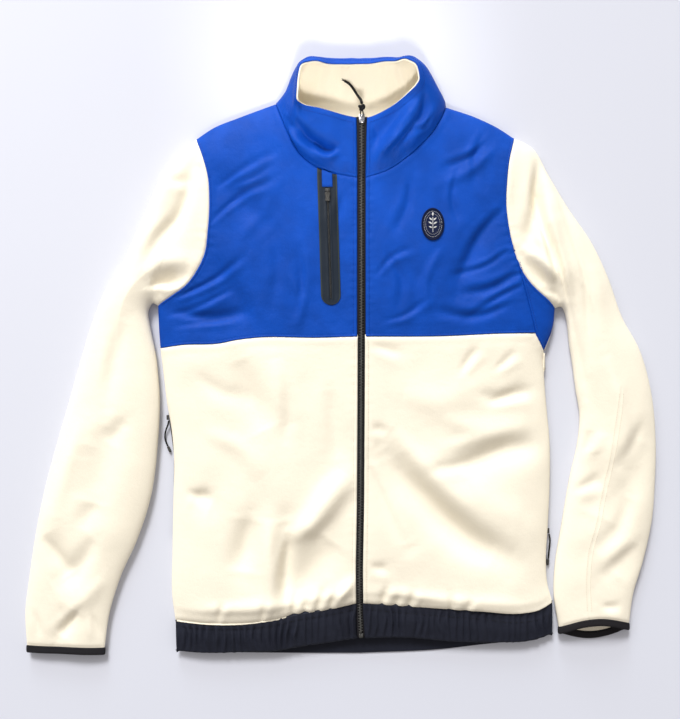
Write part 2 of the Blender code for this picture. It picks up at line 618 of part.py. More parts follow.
def zip_height(y):
    """Height of the front's outer face along the zip, up the body and then up the collar."""
    y = np.asarray(y, float)
    on_body = top_height(zip_x(y), y)
    ups = np.linspace(0, 1, 40)
    foot = np.array([0.0, NECK_AT_ZIP, top_height(np.zeros(1), np.full(1, NECK_AT_ZIP))[0]])
    profile = collar_point(foot, np.zeros_like(ups), ups)
    on_collar = np.interp(y, profile[:, 1], profile[:, 2])
    blend = np.clip((y - NECK_AT_ZIP + 0.004) / 0.008, 0, 1)
    return on_body * (1 - blend) + on_collar * blend


def even(count, start=0.0, end=1.0):
    return list(np.linspace(start, end, count))


def armhole_share(row):
    """The share of the armhole, from the armpit to the shoulder, at one row of a yoke."""
    return (row - ARMPIT_ROW) / (1 - ARMPIT_ROW)


def sleeve_columns():
    """A sleeve's columns meet the yoke's rows at the armhole, and it adds a lip at the armpit."""
    shares = [1 - armhole_share(row) for row in reversed(YOKE_ROWS) if row >= ARMPIT_ROW]
    return shares[:-1] + [1.0, 1.0]


SLEEVE_COLUMNS = sleeve_columns()


def shares_of(*tables):
    """The shares of the joined edge's length at which its tables meet."""
    lengths = [np.linalg.norm(np.diff(np.asarray(table), axis=0), axis=1).sum() for table in tables]
    return np.cumsum(lengths)[:-1] / sum(lengths)


def eased(flat, v, foot=0.0, head=0.0):
    """The panel's points with its lower and upper edges drawn in by the seam's gap."""
    flat[..., 1] += foot * np.clip(1 - v / 0.05, 0, 1)
    flat[..., 1] -= head * np.clip((v - 0.95) / 0.05, 0, 1)
    return flat


def jointed(curve, shares):
    """The straight-sided line that a neighbour's grid makes of this curve."""
    points = curve(np.asarray(shares))
    return lambda share: np.stack([np.interp(share, shares, points[:, i]) for i in (0, 1)], axis=-1)


def wrap_seam():
    """The line where the wrapped back yoke meets the front yoke, up to the armhole."""
    return WRAP_SEAM + [tuple(edge(ARMHOLE_LEFT)(armhole_share(WRAP_ROW)))]


def yoke_half(side, back):
    """One half of the front or back yoke, from its seam up to the shoulder and neck."""
    right = side == "right"
    wrapped = not right and not back
    armhole = ARMHOLE_RIGHT if right else ARMHOLE_LEFT
    shoulder = SHOULDER_RIGHT if right else SHOULDER_LEFT
    fold = backwards(SIDE_RIGHT[:3] if right else SIDE_LEFT[:3])
    if back:
        neck = BACK_NECK_RIGHT if right else BACK_NECK_LEFT
        seam = BACK_YOKE_SEAM_RIGHT if right else BACK_YOKE_SEAM_LEFT
        centre = 0.0
    else:
        neck = NECK_RIGHT if right else NECK_LEFT
        seam = YOKE_SEAM_RIGHT if right else YOKE_SEAM_LEFT
        centre = neck[0][0]
    armhole_edge = edge(armhole)
    fold_edge = edge(wrap_seam() if wrapped else fold)
    turn = WRAP_ROW if wrapped else ARMPIT_ROW

    def outer(row):
        below = fold_edge(row / turn)
        return np.where((row > turn)[..., None], armhole_edge(armhole_share(row)), below)

    foot_y = seam[-1][1]
    zip_side = [(centre, foot_y), (centre, (foot_y + neck[0][1]) / 2), (centre, neck[0][1])]
    corner = shares_of(zip_side, neck)[0]
    inner = knotted(edge(zip_side, neck), (0, 0), (CORNER_ROW, corner), (1, 1))

    def lay(u, v):
        flat = eased(patch(outer, inner, edge(seam), edge(shoulder), u, v), v, foot=SEAM_GAP)
        if wrapped:
            flat[..., 0] -= SEAM_GAP * np.clip(1 - u / 0.05, 0, 1) * (v < WRAP_ROW + 0.001)
        return flat

    height = under_height if back else top_height
    rows = np.asarray(YOKE_ROWS)
    fold_rows = None if wrapped else rows <= ARMPIT_ROW
    columns = BACK_COLUMNS if back else WRAPPED_COLUMNS if wrapped else COLUMNS
    return cloth_grid(columns, rows, lay, height, fold_rows, top_fold=True, under=back)


def side_wrap():
    """The back yoke's left edge, which comes round the fold and lies on the front."""
    fold = edge(backwards(SIDE_LEFT[:3]))
    seam_line = edge(WRAP_CORNER, wrap_seam())
    armhole_rows = [row for row in YOKE_ROWS if ARMPIT_ROW <= row <= WRAP_ROW]
    reach = armhole_share(WRAP_ROW)
    columns = [armhole_share(row) / reach for row in armhole_rows]
    rows = [row / ARMPIT_ROW for row in YOKE_ROWS if row <= ARMPIT_ROW]

    def seam(share):
        inside = np.clip(share / 0.04, 0, 1) * (share < 0.999)
        return seam_line(share) + np.array([2 * SEAM_GAP, 0]) * inside[..., None]

    def lay(u, v):
        upper = lambda share: edge(ARMHOLE_LEFT)(share * reach)
        lower = lambda share: np.asarray(WRAP_CORNER[0]) + 0 * share[..., None]
        flat = patch(fold, seam, lower, upper, u, v)
        flat[..., 1] += 3 * SEAM_GAP * np.clip(1 - v, 0, 1)
        return flat

    return cloth_grid(columns, rows, lay, top_height)


def lower_columns(side, back):
    if back:
        return BACK_COLUMNS
    if side == "right":
        return COLUMNS
    rest = [WRAP_CORNER_COLUMN + (1 - WRAP_CORNER_COLUMN) * column for column in WRAPPED_COLUMNS]
    return COLUMNS[:4] + rest


def lower_lay(side, back):
    """The function that places the points of one half of the fleece below the yoke."""
    right = side == "right"
    outer = edge(backwards(SIDE_RIGHT[2:11] if right else SIDE_LEFT[2:12]))
    if back:
        seam = edge(BACK_YOKE_SEAM_RIGHT if right else BACK_YOKE_SEAM_LEFT)
        hem = BACK_HEM_SEAM_RIGHT if right else BACK_HEM_SEAM_LEFT
        foot_y, head_y = hem[-1][1], BACK_YOKE_SEAM_RIGHT[-1][1]
    else:
        hem = HEM_SEAM_RIGHT if right else HEM_SEAM_LEFT
        foot_y, head_y = hem[-1][1], YOKE_SEAM_AT_ZIP
        seam = edge(YOKE_SEAM_RIGHT)
        if not right:
            corner = shares_of(WRAP_CORNER, YOKE_SEAM_LEFT)[0]
            seam = edge(WRAP_CORNER, YOKE_SEAM_LEFT)
            seam = knotted(seam, (0, 0), (WRAP_CORNER_COLUMN, corner), (1, 1))
    heights = np.linspace(foot_y, head_y, 9)
    offset = ZIP_HALF_GAP_FLEECE * (-1 if right else 1)
    middle = 0 * heights if back else zip_x(heights) + offset
    inner = edge(list(zip(middle, heights)))

    def lay(u, v):
        under_wrap = 0 if (right or back) else 4 * SEAM_GAP * (u < WRAP_CORNER_COLUMN - 0.001)
        return eased(patch(outer, inner, edge(hem), seam, u, v), v, foot=SEAM_GAP, head=under_wrap)

    return lay


def lower_half(side, back):
    rows = np.asarray(FLAT_ROWS if back else LOWER_ROWS)
    height = under_height if back else top_height
    lay = lower_lay(side, back)
    folded = np.ones(len(rows), bool)
    return cloth_grid(lower_columns(side, back), rows, lay, height, folded, under=back)


def hem_half(side, back):
    """One half of the gathered hem band, with a wave for each gather."""
    right = side == "right"
    if back:
        foot = BACK_HEM_FOOT_RIGHT if right else BACK_HEM_FOOT_LEFT
    else:
        foot = HEM_FOOT_RIGHT if right else HEM_FOOT_LEFT
    panel = lower_lay(side, back)
    on_panel = lambda share: panel(share, np.zeros_like(share)) - np.array([0, 2 * SEAM_GAP])
    head = jointed(on_panel, lower_columns(side, back))
    outer = lambda v: edge([foot[0], tuple(head(0.0))])(v)
    inner = lambda v: edge([foot[-1], tuple(head(1.0))])(v)
    waves = round(abs(foot[0][0]) / GATHER_PITCH)
    lay = lambda u, v: patch(outer, inner, edge(foot), head, u, v)

    def height(x, y, u, v):
        if back:
            return under_height(x, y)
        swell = HEM_SWELL * np.sin(np.pi * v)
        return top_height(x, y) + swell + GATHER_DEPTH * np.cos(2 * np.pi * waves * u) * (u > 0.01)

    columns = [0.0, 0.003, 0.010] + list(np.arange(1, 2 * waves + 1) / (2 * waves))
    columns = BACK_COLUMNS if back else columns
    rows = np.asarray([0.0, 0.5, 1.0])
    return cloth_grid(columns, rows, lay, height, np.ones(3, bool), under=back)


def sleeve_lay(side):
    """The function that places a sleeve panel's points, and the crown between its fold edges."""
    right = side == "right"
    stations, rows = sleeve_rails(SLEEVE_RIGHT if right else SLEEVE_LEFT)
    armhole = edge(backwards(ARMHOLE_RIGHT if right else ARMHOLE_LEFT))

    def away_from_body(u):
        step = armhole(np.clip(u + 0.01, 0, 1)) - armhole(np.clip(u - 0.01, 0, 1))
        step /= np.linalg.norm(step, axis=-1, keepdims=True)
        turned = np.stack([step[..., 1], -step[..., 0]], axis=-1)
        return turned if right else -turned

    def lay(u, v, tilt=0.0):
        at = through(stations, rows, v)
        outer, inner, bow = at[..., 0:2], at[..., 2:4], at[..., 5]
        chord = outer + (inner - outer) * u[..., None]
        first = rows[0]
        straight = first[0:2] + (first[2:4] - first[0:2]) * u[..., None]
        bowed = armhole(u) - straight
        armpit = np.clip((u - 0.30) / 0.70, 0, 1)
        settled = np.clip(v / 0.05, 0, 1) * armpit**2 * (3 - 2 * armpit)
        flat = chord + (bow * (1 - settled))[..., None] * bowed
        flat += away_from_body(u) * (SEAM_GAP * np.clip(1 - v / 0.05, 0, 1))[..., None]
        flat[..., 1] += tilt * np.sin(np.pi * np.clip(u, 0, 1)) * np.clip((v - 0.9) / 0.1, 0, 1)
        return flat

    def crown(x, y, v):
        own = through(stations, rows[:, 4:5], v)[..., 0]
        fade = np.clip(v / 0.06, 0, 1)
        return body_crown(x, y) * (1 - fade) + own * fade

    return lay, crown


def sleeve_panel(side, under, rows=None):
    lay, crown = sleeve_lay(side)
    tilt = 0.0 if side == "right" else CUFF_TILT_LEFT
    columns = SLEEVE_COLUMNS
    rows = np.asarray(rows or (SLEEVE_ROWS_UNDER if under else SLEEVE_ROWS))
    place = lambda u, v: lay(u, v, -tilt if under else tilt)

    def height(x, y, u, v):
        return under_height(x, y) if under else top_height(x, y, crown=crown(x, y, v))

    return cloth_grid(columns, rows, place, height, np.ones(len(rows), bool), far_fold=True, under=under)


def cuff_binding(side):
    """The narrow band round the sleeve's end: the last section of both panels, carried on down."""
    ends = []
    for under in (False, True):
        panel = sleeve_panel(side, under, rows=[0.0, 0.97, 1.0])
        ends.append(panel[-1])
    top, bottom = ends
    loop = np.vstack([top[:-1], bottom[::-1][:-1], top[:1]])
    loop[len(top) - 1 : len(top), 2] = EDGE_HEIGHT
    rings = []
    for step in (3 * SEAM_GAP, BINDING_LENGTH / 2, BINDING_LENGTH):
        ring = loop.copy()
        ring[:, 1] -= step
        rings.append(ring)
    return np.asarray(rings)


def zip_stations(foot, head):
    """Heights up the zip that its tapes and teeth share, closer together where the collar curves."""
    body = np.linspace(TAPE_FOOT, NECK_AT_ZIP - 0.01, ZIP_STATIONS)
    collar = np.linspace(NECK_AT_ZIP - 0.005, TAPE_HEAD, COLLAR_STATIONS)
    seam = [YOKE_SEAM_AT_ZIP + 0.002, YOKE_SEAM_AT_ZIP + 0.006]
    every = np.unique(np.concatenate([body, collar, seam, [TEETH_FOOT, TEETH_HEAD]]))
    return every[(every >= foot - 1e-6) & (every <= head + 1e-6)]


def zip_strip(left_edge, right_edge, lift, foot, head):
    """A strip along the zip's line between two distances across it, above or below the front's face."""
    y = zip_stations(foot, head)
    z = zip_height(y) + lift
    left = np.stack([zip_x(y) + left_edge(y), y, z], axis=-1)
    right = np.stack([zip_x(y) + right_edge(y), y, z], axis=-1)
    return np.stack([left, right], axis=1)


def zip_half_gap(y):
    """Half of the space between the fronts, less the seam's gap."""
    shell = np.clip((y - YOKE_SEAM_AT_ZIP - 0.002) / 0.004, 0, 1)
    return ZIP_HALF_GAP_FLEECE + (ZIP_HALF_GAP_SHELL - ZIP_HALF_GAP_FLEECE) * shell - SEAM_GAP


def facets(points):
    """A function that reads the height of a panel's outer face from the panel's own facets."""
    rows, cols = points.shape[:2]
    places = np.arange(rows * cols).reshape(rows, cols)
    a, b, c, d = places[:-1, :-1], places[:-1, 1:], places[1:, 1:], places[1:, :-1]
    corners = [(a, b, c), (a, c, d), (a, b, d), (b, c, d)]
    triangles = np.concatenate([np.stack(three, axis=-1).reshape(-1, 3) for three in corners])
    tree = BVHTree.FromPolygons(points.reshape(-1, 3).tolist(), triangles.tolist())
    down = Vector((0, 0, -1))

    def height(x, y):
        over = zip(np.ravel(x), np.ravel(y))
        found = [tree.ray_cast(Vector((px, py, 1.0)), down)[0].z for px, py in over]
        return np.asarray(found).reshape(np.shape(x))

    return height


def pocket_x(y):
    table = np.asarray(POCKET_LINE)
    return np.interp(y, table[:, 0], table[:, 1])


def below_neck(x):
    """Height up the front at which what lies on the right yoke stops short of the neck seam."""
    table = np.asarray(backwards(NECK_RIGHT))
    return np.interp(x, table[:, 0], table[:, 1]) - POCKET_NECK_MARGIN


def pocket_strip(height, lift, foot, head, half_width, shares, columns):
    """A strip down the pocket's line, lying on the yoke. `head` and `half_width` are functions."""
    across = np.linspace(-1, 1, columns)[None, :]
    up = np.asarray(shares)[:, None]
    head_x = pocket_x(GARAGE_FOOT) + across * half_width(np.full(1, GARAGE_FOOT))
    y = foot + (head(head_x) - foot) * up
    x = pocket_x(y) + across * half_width(y)
    return np.stack([x, y, height(x, y) + lift], axis=-1)


def disc(height, centre, radii, lift, rings, sides):
    """Points of an oval that lies on the cloth, ring by ring from its middle."""
    turn = np.linspace(0, 2 * np.pi, sides + 1)[None, :]
    share = np.asarray(rings)[:, None]
    x = centre[0] + radii[0] * share * np.cos(turn)
    y = centre[1] + radii[1] * share * np.sin(turn)
    return np.stack([x, y, height(x, y) + lift], axis=-1)


def box(name, size, centre, material, bevel, segments=2, offset=(0, 0, 0)):
    """A rounded block. `offset` moves it away from its own origin."""
    mesh = bpy.data.meshes.new(name)
    bm = bmesh.new()
    bmesh.ops.create_cube(bm, size=1)
    bmesh.ops.scale(bm, vec=size, verts=bm.verts)
    bmesh.ops.translate(bm, vec=offset, verts=bm.verts)
    bm.to_mesh(mesh)
    bm.free()
    mesh.shade_smooth()
    piece = add_object(name, mesh, material)
    piece.location = centre
    rounding = piece.modifiers.new("rounding", "BEVEL")
    rounding.width = bevel
    rounding.segments = segments
    return piece


def tube(name, points, radius, material, sides=2):
    curve = bpy.data.curves.new(name, "CURVE")
    curve.dimensions = "3D"
    curve.bevel_depth = radius
    curve.bevel_resolution = sides
    curve.use_fill_caps = True
    spline = curve.splines.new("POLY")
    spline.points.add(len(points) - 1)
    for target, point in zip(spline.points, points):
        target.co = (*point, 1)
    return add_object(name, curve, material)


def add_ring(piece):
    """The pull tab's eye, joined to the tab: a short ring round the bar."""
    mesh = bpy.data.meshes.new("pull_eye")
    bm = bmesh.new()
    sides = 16
    turn = np.linspace(0, 2 * np.pi, sides, endpoint=False)
    half = PULL_EYE_HALF_WIDTH
    corners = [(-half, PULL_EYE_INNER), (half, PULL_EYE_INNER), (half, PULL_EYE_OUTER), (-half, PULL_EYE_OUTER)]
    rings = []
    for angle in turn:
        rings.append([bm.verts.new((x, r * math.cos(angle), r * math.sin(angle))) for x, r in corners])
    for this, following in zip(rings, rings[1:] + rings[:1]):
        for corner in range(4):
            after = (corner + 1) % 4
            bm.faces.new((this[corner], this[after], following[after], following[corner]))
    bmesh.ops.recalc_face_normals(bm, faces=bm.faces)
    bm.to_mesh(mesh)
    bm.free()
    eye = add_object("pull_eye", mesh, "moulded_black")
    eye.location = piece.location
    eye.rotation_euler = piece.rotation_euler
    eye.hide_render = True
    eye.display_type = "WIRE"
    union = piece.modifiers.new("eye", "BOOLEAN")
    union.operation = "UNION"
    union.solver = "EXACT"
    union.object = eye


def route(points, count):
    """Evenly spread points on the smooth curve through a route's points."""
    points = np.asarray(points, float)
    steps = np.linalg.norm(np.diff(points, axis=0), axis=1)
    stations = np.concatenate([[0], np.cumsum(steps)])
    return through(stations / stations[-1], points, np.linspace(0, 1, count))


def make_fronts():
    for side, flip in (("right", False), ("left", True)):
        cloth(f"front_yoke_{side}", [yoke_half(side, False)], "blue_shell", SHELL_WALL, [flip])
        cloth(f"front_lower_{side}", [lower_half(side, False)], "cream_fleece", FLEECE_WALL, [flip])
        cloth(f"hem_band_front_{side}", [hem_half(side, False)], "navy_elastic", SHELL_WALL, [flip])


def make_backs():
    yoke = [yoke_half("right", True), yoke_half("left", True), side_wrap()]
    yoke[1][: len(yoke[2]), 0, 2] = EDGE_HEIGHT + SEAM_GAP
    yoke[2][:, 0] = yoke[1][: len(yoke[2]), 0]
    cloth("back_yoke", yoke, "blue_shell", SHELL_WALL, [True, False, True], weld=True)
    lower = [lower_half("right", True), lower_half("left", True)]
    cloth("back_lower", lower, "cream_fleece", FLEECE_WALL, [True, False], weld=True)
    band = [hem_half("right", True), hem_half("left", True)]
    cloth("hem_band_back", band, "navy_elastic", SHELL_WALL, [True, False], weld=True)


def make_sleeves():
    for side, flip in (("right", False), ("left", True)):
        top = sleeve_panel(side, False)[::-1]
        under = sleeve_panel(side, True)[::-1]
        cloth(f"sleeve_{side}_top", [top], "cream_fleece", FLEECE_WALL, [flip])
        cloth(f"sleeve_{side}_under", [under], "cream_fleece", FLEECE_WALL, [not flip])
        ring = cuff_binding(side)[::-1]
        cloth(f"cuff_binding_{side}", [ring], "black_binding", BINDING_WALL, [flip], weld=True)


def collar_grids():
    """The collar's outer face, and the lining's face a seam's gap inside the outer wall."""
    base, around = neck_ring()
    toward = collar_point(base, around, np.full(len(around), 0.1)) - base
    base = base + toward / np.linalg.norm(toward, axis=1, keepdims=True) * 2 * SEAM_GAP
    rows = np.asarray(COLLAR_ROWS)
    outer = np.asarray([collar_point(base, around, np.full(len(around), up)) for up in rows])
    return outer, moved_in(outer, SHELL_WALL + SEAM_GAP)


def make_collar():
    outer, lining = collar_grids()
    cloth("collar_outer", [outer], "blue_shell", SHELL_WALL, [True])
    cloth("collar_lining", [lining], "cream_fleece", LINING_WALL, [True])


def make_zip():
    """The front's zip: two tapes, the closed teeth, the bottom box, and the slider with its pull."""
    near = lambda sign: lambda y: np.full_like(y, sign * SEAM_GAP)
    far = lambda sign: lambda y: sign * zip_half_gap(y)
    right = zip_strip(far(-1), near(-1), -TAPE_SINK, TAPE_FOOT, TAPE_HEAD)
    left = zip_strip(near(1), far(1), -TAPE_SINK, TAPE_FOOT, TAPE_HEAD)
    cloth("zip_tape_right", [right], "zip_tape_black", TAPE_WALL, [False])
    cloth("zip_tape_left", [left], "zip_tape_black", TAPE_WALL, [False])
    tooth_edge = lambda sign: lambda y: np.full_like(y, sign * TEETH_HALF_WIDTH)
    teeth = zip_strip(tooth_edge(-1), tooth_edge(1), TEETH_PROUD, TEETH_FOOT, TEETH_HEAD)
    cloth("zip_teeth", [teeth], "zip_black", TEETH_WALL, [False])
    box_y = TEETH_FOOT - SEAM_GAP - BOTTOM_BOX[1] / 2
    ends = box_y + np.array([-0.5, 0.5]) * BOTTOM_BOX[1]
    box_z = zip_height(ends).max() - TAPE_SINK + SEAM_GAP + BOTTOM_BOX[2] / 2
    box("zip_bottom_box", BOTTOM_BOX, (float(zip_x(box_y)), box_y, box_z), "zip_black", 0.0006)
    ends = SLIDER_Y + np.array([-0.5, 0.5]) * SLIDER[1]
    slider_z = zip_height(ends).max() - TAPE_SINK + SEAM_GAP + SLIDER[2] / 2
    box("zip_slider", SLIDER, (0, SLIDER_Y, slider_z), "silver_metal", 0.0010)
    top = slider_z + SLIDER[2] / 2
    low, high = top + SEAM_GAP, top + BAIL_RISE
    start, end = SLIDER_Y - BAIL_REACH, SLIDER_Y + BAIL_REACH
    staple = [(0, start, low), (0, start, high), (0, end, high), (0, end, low)]
    tube("zip_bail", staple, BAIL_RADIUS, "silver_metal")
    across, loop_z = PULL_LOOP_HALF_WIDTH, top + PULL_LOOP_LIFT
    foot, head = PULL_LOOP_FOOT, PULL_LOOP_HEAD
    loop = [(-across, head, loop_z), (-across, foot, loop_z), (across, foot, loop_z), (across, head, loop_z)]
    tube("zip_pull_loop", loop, PULL_LOOP_RADIUS, "cord_black")
    mesh = bpy.data.meshes.new("zip_pull_knot")
    bm = bmesh.new()
    bmesh.ops.create_uvsphere(bm, u_segments=14, v_segments=8, radius=1)
    bmesh.ops.scale(bm, vec=KNOT_RADII, verts=bm.verts)
    bm.to_mesh(mesh)
    bm.free()
    knot = add_object("zip_pull_knot", mesh, "cord_black")
    knot.location = (0, KNOT_Y, loop_z)
    tube("zip_pull_cord", route(ZIP_CORD, CORD_STATIONS), CORD_RADIUS, "cord_black")


def make_chest_pocket():
    """What lies on the right yoke: the pocket's tape, coil, garage, slider, bail and pull tab."""
    height = facets(yoke_half("right", False))
    wide = POCKET_HALF_WIDTH

    def rounded(y):
        drop = np.clip((POCKET_FOOT + wide - y) / wide, 0, 1)
        return wide * np.maximum(np.sqrt(1 - drop**2), 0.30)

    tape_face = ON_CLOTH_GAP + POCKET_TAPE_WALL
    tape_shares = [0.0, 0.008, 0.02, 0.045, 0.075] + even(20, 0.12, 1.0)
    tape = pocket_strip(height, tape_face, POCKET_FOOT, below_neck, rounded, tape_shares, 4)
    cloth("pocket_tape", [tape], "pocket_charcoal", POCKET_TAPE_WALL, [False])
    narrow = lambda y: GARAGE_HALF_WIDTH + 0 * y
    garage_face = tape_face + SEAM_GAP + GARAGE_WALL
    garage = pocket_strip(height, garage_face, GARAGE_FOOT, below_neck, narrow, even(4), 4)
    cloth("pocket_garage", [garage], "blue_shell", GARAGE_WALL, [False])
    slim = lambda y: COIL_HALF_WIDTH + 0 * y
    coil_face = tape_face + SEAM_GAP + COIL_WALL
    coil_head = lambda x: COIL_HEAD + 0 * x
    coil = pocket_strip(height, coil_face, COIL_FOOT, coil_head, slim, even(22), 2)
    cloth("pocket_coil", [coil], "zip_black", COIL_WALL, [False])
    middle = float(pocket_x(POCKET_SLIDER_Y))
    around_x = middle + np.array([-0.5, 0.5, -0.5, 0.5]) * POCKET_SLIDER[0]
    around_y = POCKET_SLIDER_Y + np.array([-0.5, -0.5, 0.5, 0.5]) * POCKET_SLIDER[1]
    base = height(around_x, around_y).max() + tape_face + SEAM_GAP
    centre = (middle, POCKET_SLIDER_Y, base + POCKET_SLIDER[2] / 2)
    box("pocket_slider", POCKET_SLIDER, centre, "moulded_black", 0.0006)
    top = base + POCKET_SLIDER[2]
    side, low, high = PULL_BAR_HALF_WIDTH, top + SEAM_GAP, top + PULL_BAR_LIFT
    corners = [(-side, low), (-side, high), (side, high), (side, low)]
    staple = [(middle + x, POCKET_SLIDER_Y, z) for x, z in corners]
    tube("pocket_bail", staple, PULL_BAR_RADIUS, "moulded_black")
    reach = (0, -(PULL_TAB_START + PULL_TAB[1] / 2), 0)
    place = (middle, POCKET_SLIDER_Y, high)
    tab = box("pocket_pull_tab", PULL_TAB, place, "moulded_black", 0.0006, offset=reach)
    tab.rotation_euler = (PULL_TAB_DROOP, 0, 0)
    add_ring(tab)


def make_badge():
    height = facets(yoke_half("left", False))
    centre, radii = (BADGE_X, BADGE_Y), (BADGE_HALF_WIDTH, BADGE_HALF_HEIGHT)
    points = disc(height, centre, radii, ON_CLOTH_GAP + BADGE_WALL, [0.0, 0.5, 1.0], 22)
    cloth("badge", [points], "badge_navy", BADGE_WALL, [True], weld=True)


def make_side_zips():
    """The pocket zips in the side seams, which lie under the fold, and their cord pulls."""
    for side, span, cord in (("right", SIDE_ZIP_RIGHT, LOOP_RIGHT), ("left", SIDE_ZIP_LEFT, LOOP_LEFT)):
        out = -1 if side == "right" else 1
        seam = lower_half(side, True)[:, 0]
        y = np.linspace(span[0], span[1], 10)
        seam_x = np.interp(y, seam[:, 1], seam[:, 0])
        faces = [
            np.stack([seam_x + out * reach, y, np.full_like(y, z)], axis=-1)
            for reach, z in (SIDE_ZIP_OUTER, SIDE_ZIP_INNER)
        ]
        ribbon = np.stack(faces, axis=1)
        cloth(f"side_zip_{side}", [ribbon], "zip_tape_black", TAPE_WALL, [side == "right"])
        slider_y = cord[0][1] + SEAM_GAP + LOOP_RADIUS + SIDE_SLIDER[1] / 2
        slider_x = float(np.interp(slider_y, seam[:, 1], seam[:, 0])) + out * SIDE_SLIDER_OUT
        place = (slider_x, slider_y, SIDE_SLIDER_Z)
        slider = box(f"side_slider_{side}", SIDE_SLIDER, place, "moulded_black", 0.0005)
        slider.rotation_euler = (0, -out * SIDE_SLIDER_LEAN, 0)
        tube(f"side_pull_cord_{side}", route(cord, LOOP_STATIONS), LOOP_RADIUS, "cord_black")
        last, before = np.asarray(cord[-1]), np.asarray(cord[-2])
        along = (last - before) / np.linalg.norm(last - before)
        start = last + along * SEAM_GAP
        grip = [start + along * GRIP_LENGTH * share for share in (0.0, 1.0)]
        tube(f"side_pull_grip_{side}", grip, GRIP_RADIUS, "moulded_black")


def clear_scene():
    for old in list(bpy.data.objects):
        bpy.data.objects.remove(old, do_unlink=True)


clear_scene()
JACKET = bpy.data.collections.new("fleece_jacket")
bpy.context.scene.collection.children.link(JACKET)
LAID = bpy.data.objects.new("laid_on_its_back", None)
JACKET.objects.link(LAID)
LAID.location = (-CENTRE_X, -CENTRE_Y, 0)

make_fronts()
make_backs()
make_sleeves()
make_collar()
make_zip()
make_chest_pocket()
make_badge()
make_side_zips()
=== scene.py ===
"""Looks of a zip-through fleece jacket with woven yokes, laid flat on its back.

The cloth is laid again from the sizes that shape the solids, in finer grids, with the creases,
gathers, stitching and seams added. Sizes are in metres, apart from tables that say millimetres.
Garment coordinates run across from the centre front (x), up from the hem (y) and up from the
surface that the jacket lies on (z).
"""

import functools
import json
import math

import bmesh
import bpy
import numpy as np
from bpy.props import FloatProperty, FloatVectorProperty, PointerProperty
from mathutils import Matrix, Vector
from mathutils.bvhtree import BVHTree

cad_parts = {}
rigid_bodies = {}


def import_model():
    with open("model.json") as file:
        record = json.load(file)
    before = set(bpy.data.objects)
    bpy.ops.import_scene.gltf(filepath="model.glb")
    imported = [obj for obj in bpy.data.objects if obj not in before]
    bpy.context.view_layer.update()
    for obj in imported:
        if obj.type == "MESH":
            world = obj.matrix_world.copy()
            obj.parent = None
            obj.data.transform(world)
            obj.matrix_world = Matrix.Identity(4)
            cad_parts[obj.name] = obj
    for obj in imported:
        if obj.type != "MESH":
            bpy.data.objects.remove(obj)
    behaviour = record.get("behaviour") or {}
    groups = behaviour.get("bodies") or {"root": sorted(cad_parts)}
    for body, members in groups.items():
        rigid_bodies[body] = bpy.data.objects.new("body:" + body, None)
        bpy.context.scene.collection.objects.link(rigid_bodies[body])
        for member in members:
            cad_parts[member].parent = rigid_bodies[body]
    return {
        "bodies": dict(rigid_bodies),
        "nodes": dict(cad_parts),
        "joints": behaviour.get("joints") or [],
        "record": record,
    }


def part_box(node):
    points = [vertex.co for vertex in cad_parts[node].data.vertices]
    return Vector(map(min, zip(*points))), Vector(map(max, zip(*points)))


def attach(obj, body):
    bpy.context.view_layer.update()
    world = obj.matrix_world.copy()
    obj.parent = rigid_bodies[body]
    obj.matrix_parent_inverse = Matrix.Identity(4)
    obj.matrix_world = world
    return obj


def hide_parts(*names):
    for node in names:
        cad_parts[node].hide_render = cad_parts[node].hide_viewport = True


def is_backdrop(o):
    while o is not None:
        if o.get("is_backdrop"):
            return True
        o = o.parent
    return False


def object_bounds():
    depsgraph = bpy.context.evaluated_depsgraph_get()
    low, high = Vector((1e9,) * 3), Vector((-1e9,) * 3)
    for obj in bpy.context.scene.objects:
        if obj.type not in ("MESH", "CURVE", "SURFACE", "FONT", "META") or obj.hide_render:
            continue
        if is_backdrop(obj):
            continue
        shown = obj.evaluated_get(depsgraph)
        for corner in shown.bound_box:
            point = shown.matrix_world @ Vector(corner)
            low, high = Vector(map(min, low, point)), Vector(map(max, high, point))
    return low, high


bl_info = {
    "name": "Fleece jacket",
    "version": (1, 0, 0),
    "blender": (4, 5, 0),
    "location": "View3D > Sidebar > Jacket",
    "description": "Builds the cloth, zips, stitching and stage of a laid fleece jacket",
    "category": "Object",
}

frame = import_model()
CAD_BOX = [list(corner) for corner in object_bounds()]
BODY = "jacket"
TAB_BODY = "pull_tab"


MM = 1000


def points(*numbers, width=2):
    """Points across and up, given in millimetres. A width of 3 gives them a height as well."""
    return [tuple(row) for row in np.reshape(numbers, (-1, width)) / MM]


def marks(*rows):
    """Folds and creases: each row's rise, width, the share of it that swells up beside it, and its line's points."""
    return [(rise / MM, width / MM, swell, points(*line)) for rise, width, swell, *line in rows]


SIDES = ("right", "left")

# The jacket's middle, which is moved to the origin.
CENTRE_X = -0.0258
CENTRE_Y = 0.3716

# Cloth.
SEAM_GAP = 0.0003
SHELL_WALL = 0.0014
FLEECE_WALL = 0.0022
LINING_WALL = 0.0019
BINDING_WALL = 0.0026
TAPE_WALL = 0.0007

# Section of the laid body: a rounded fold edge, then a low crown.
EDGE_HEIGHT = 0.008
EDGE_REACH = 0.05

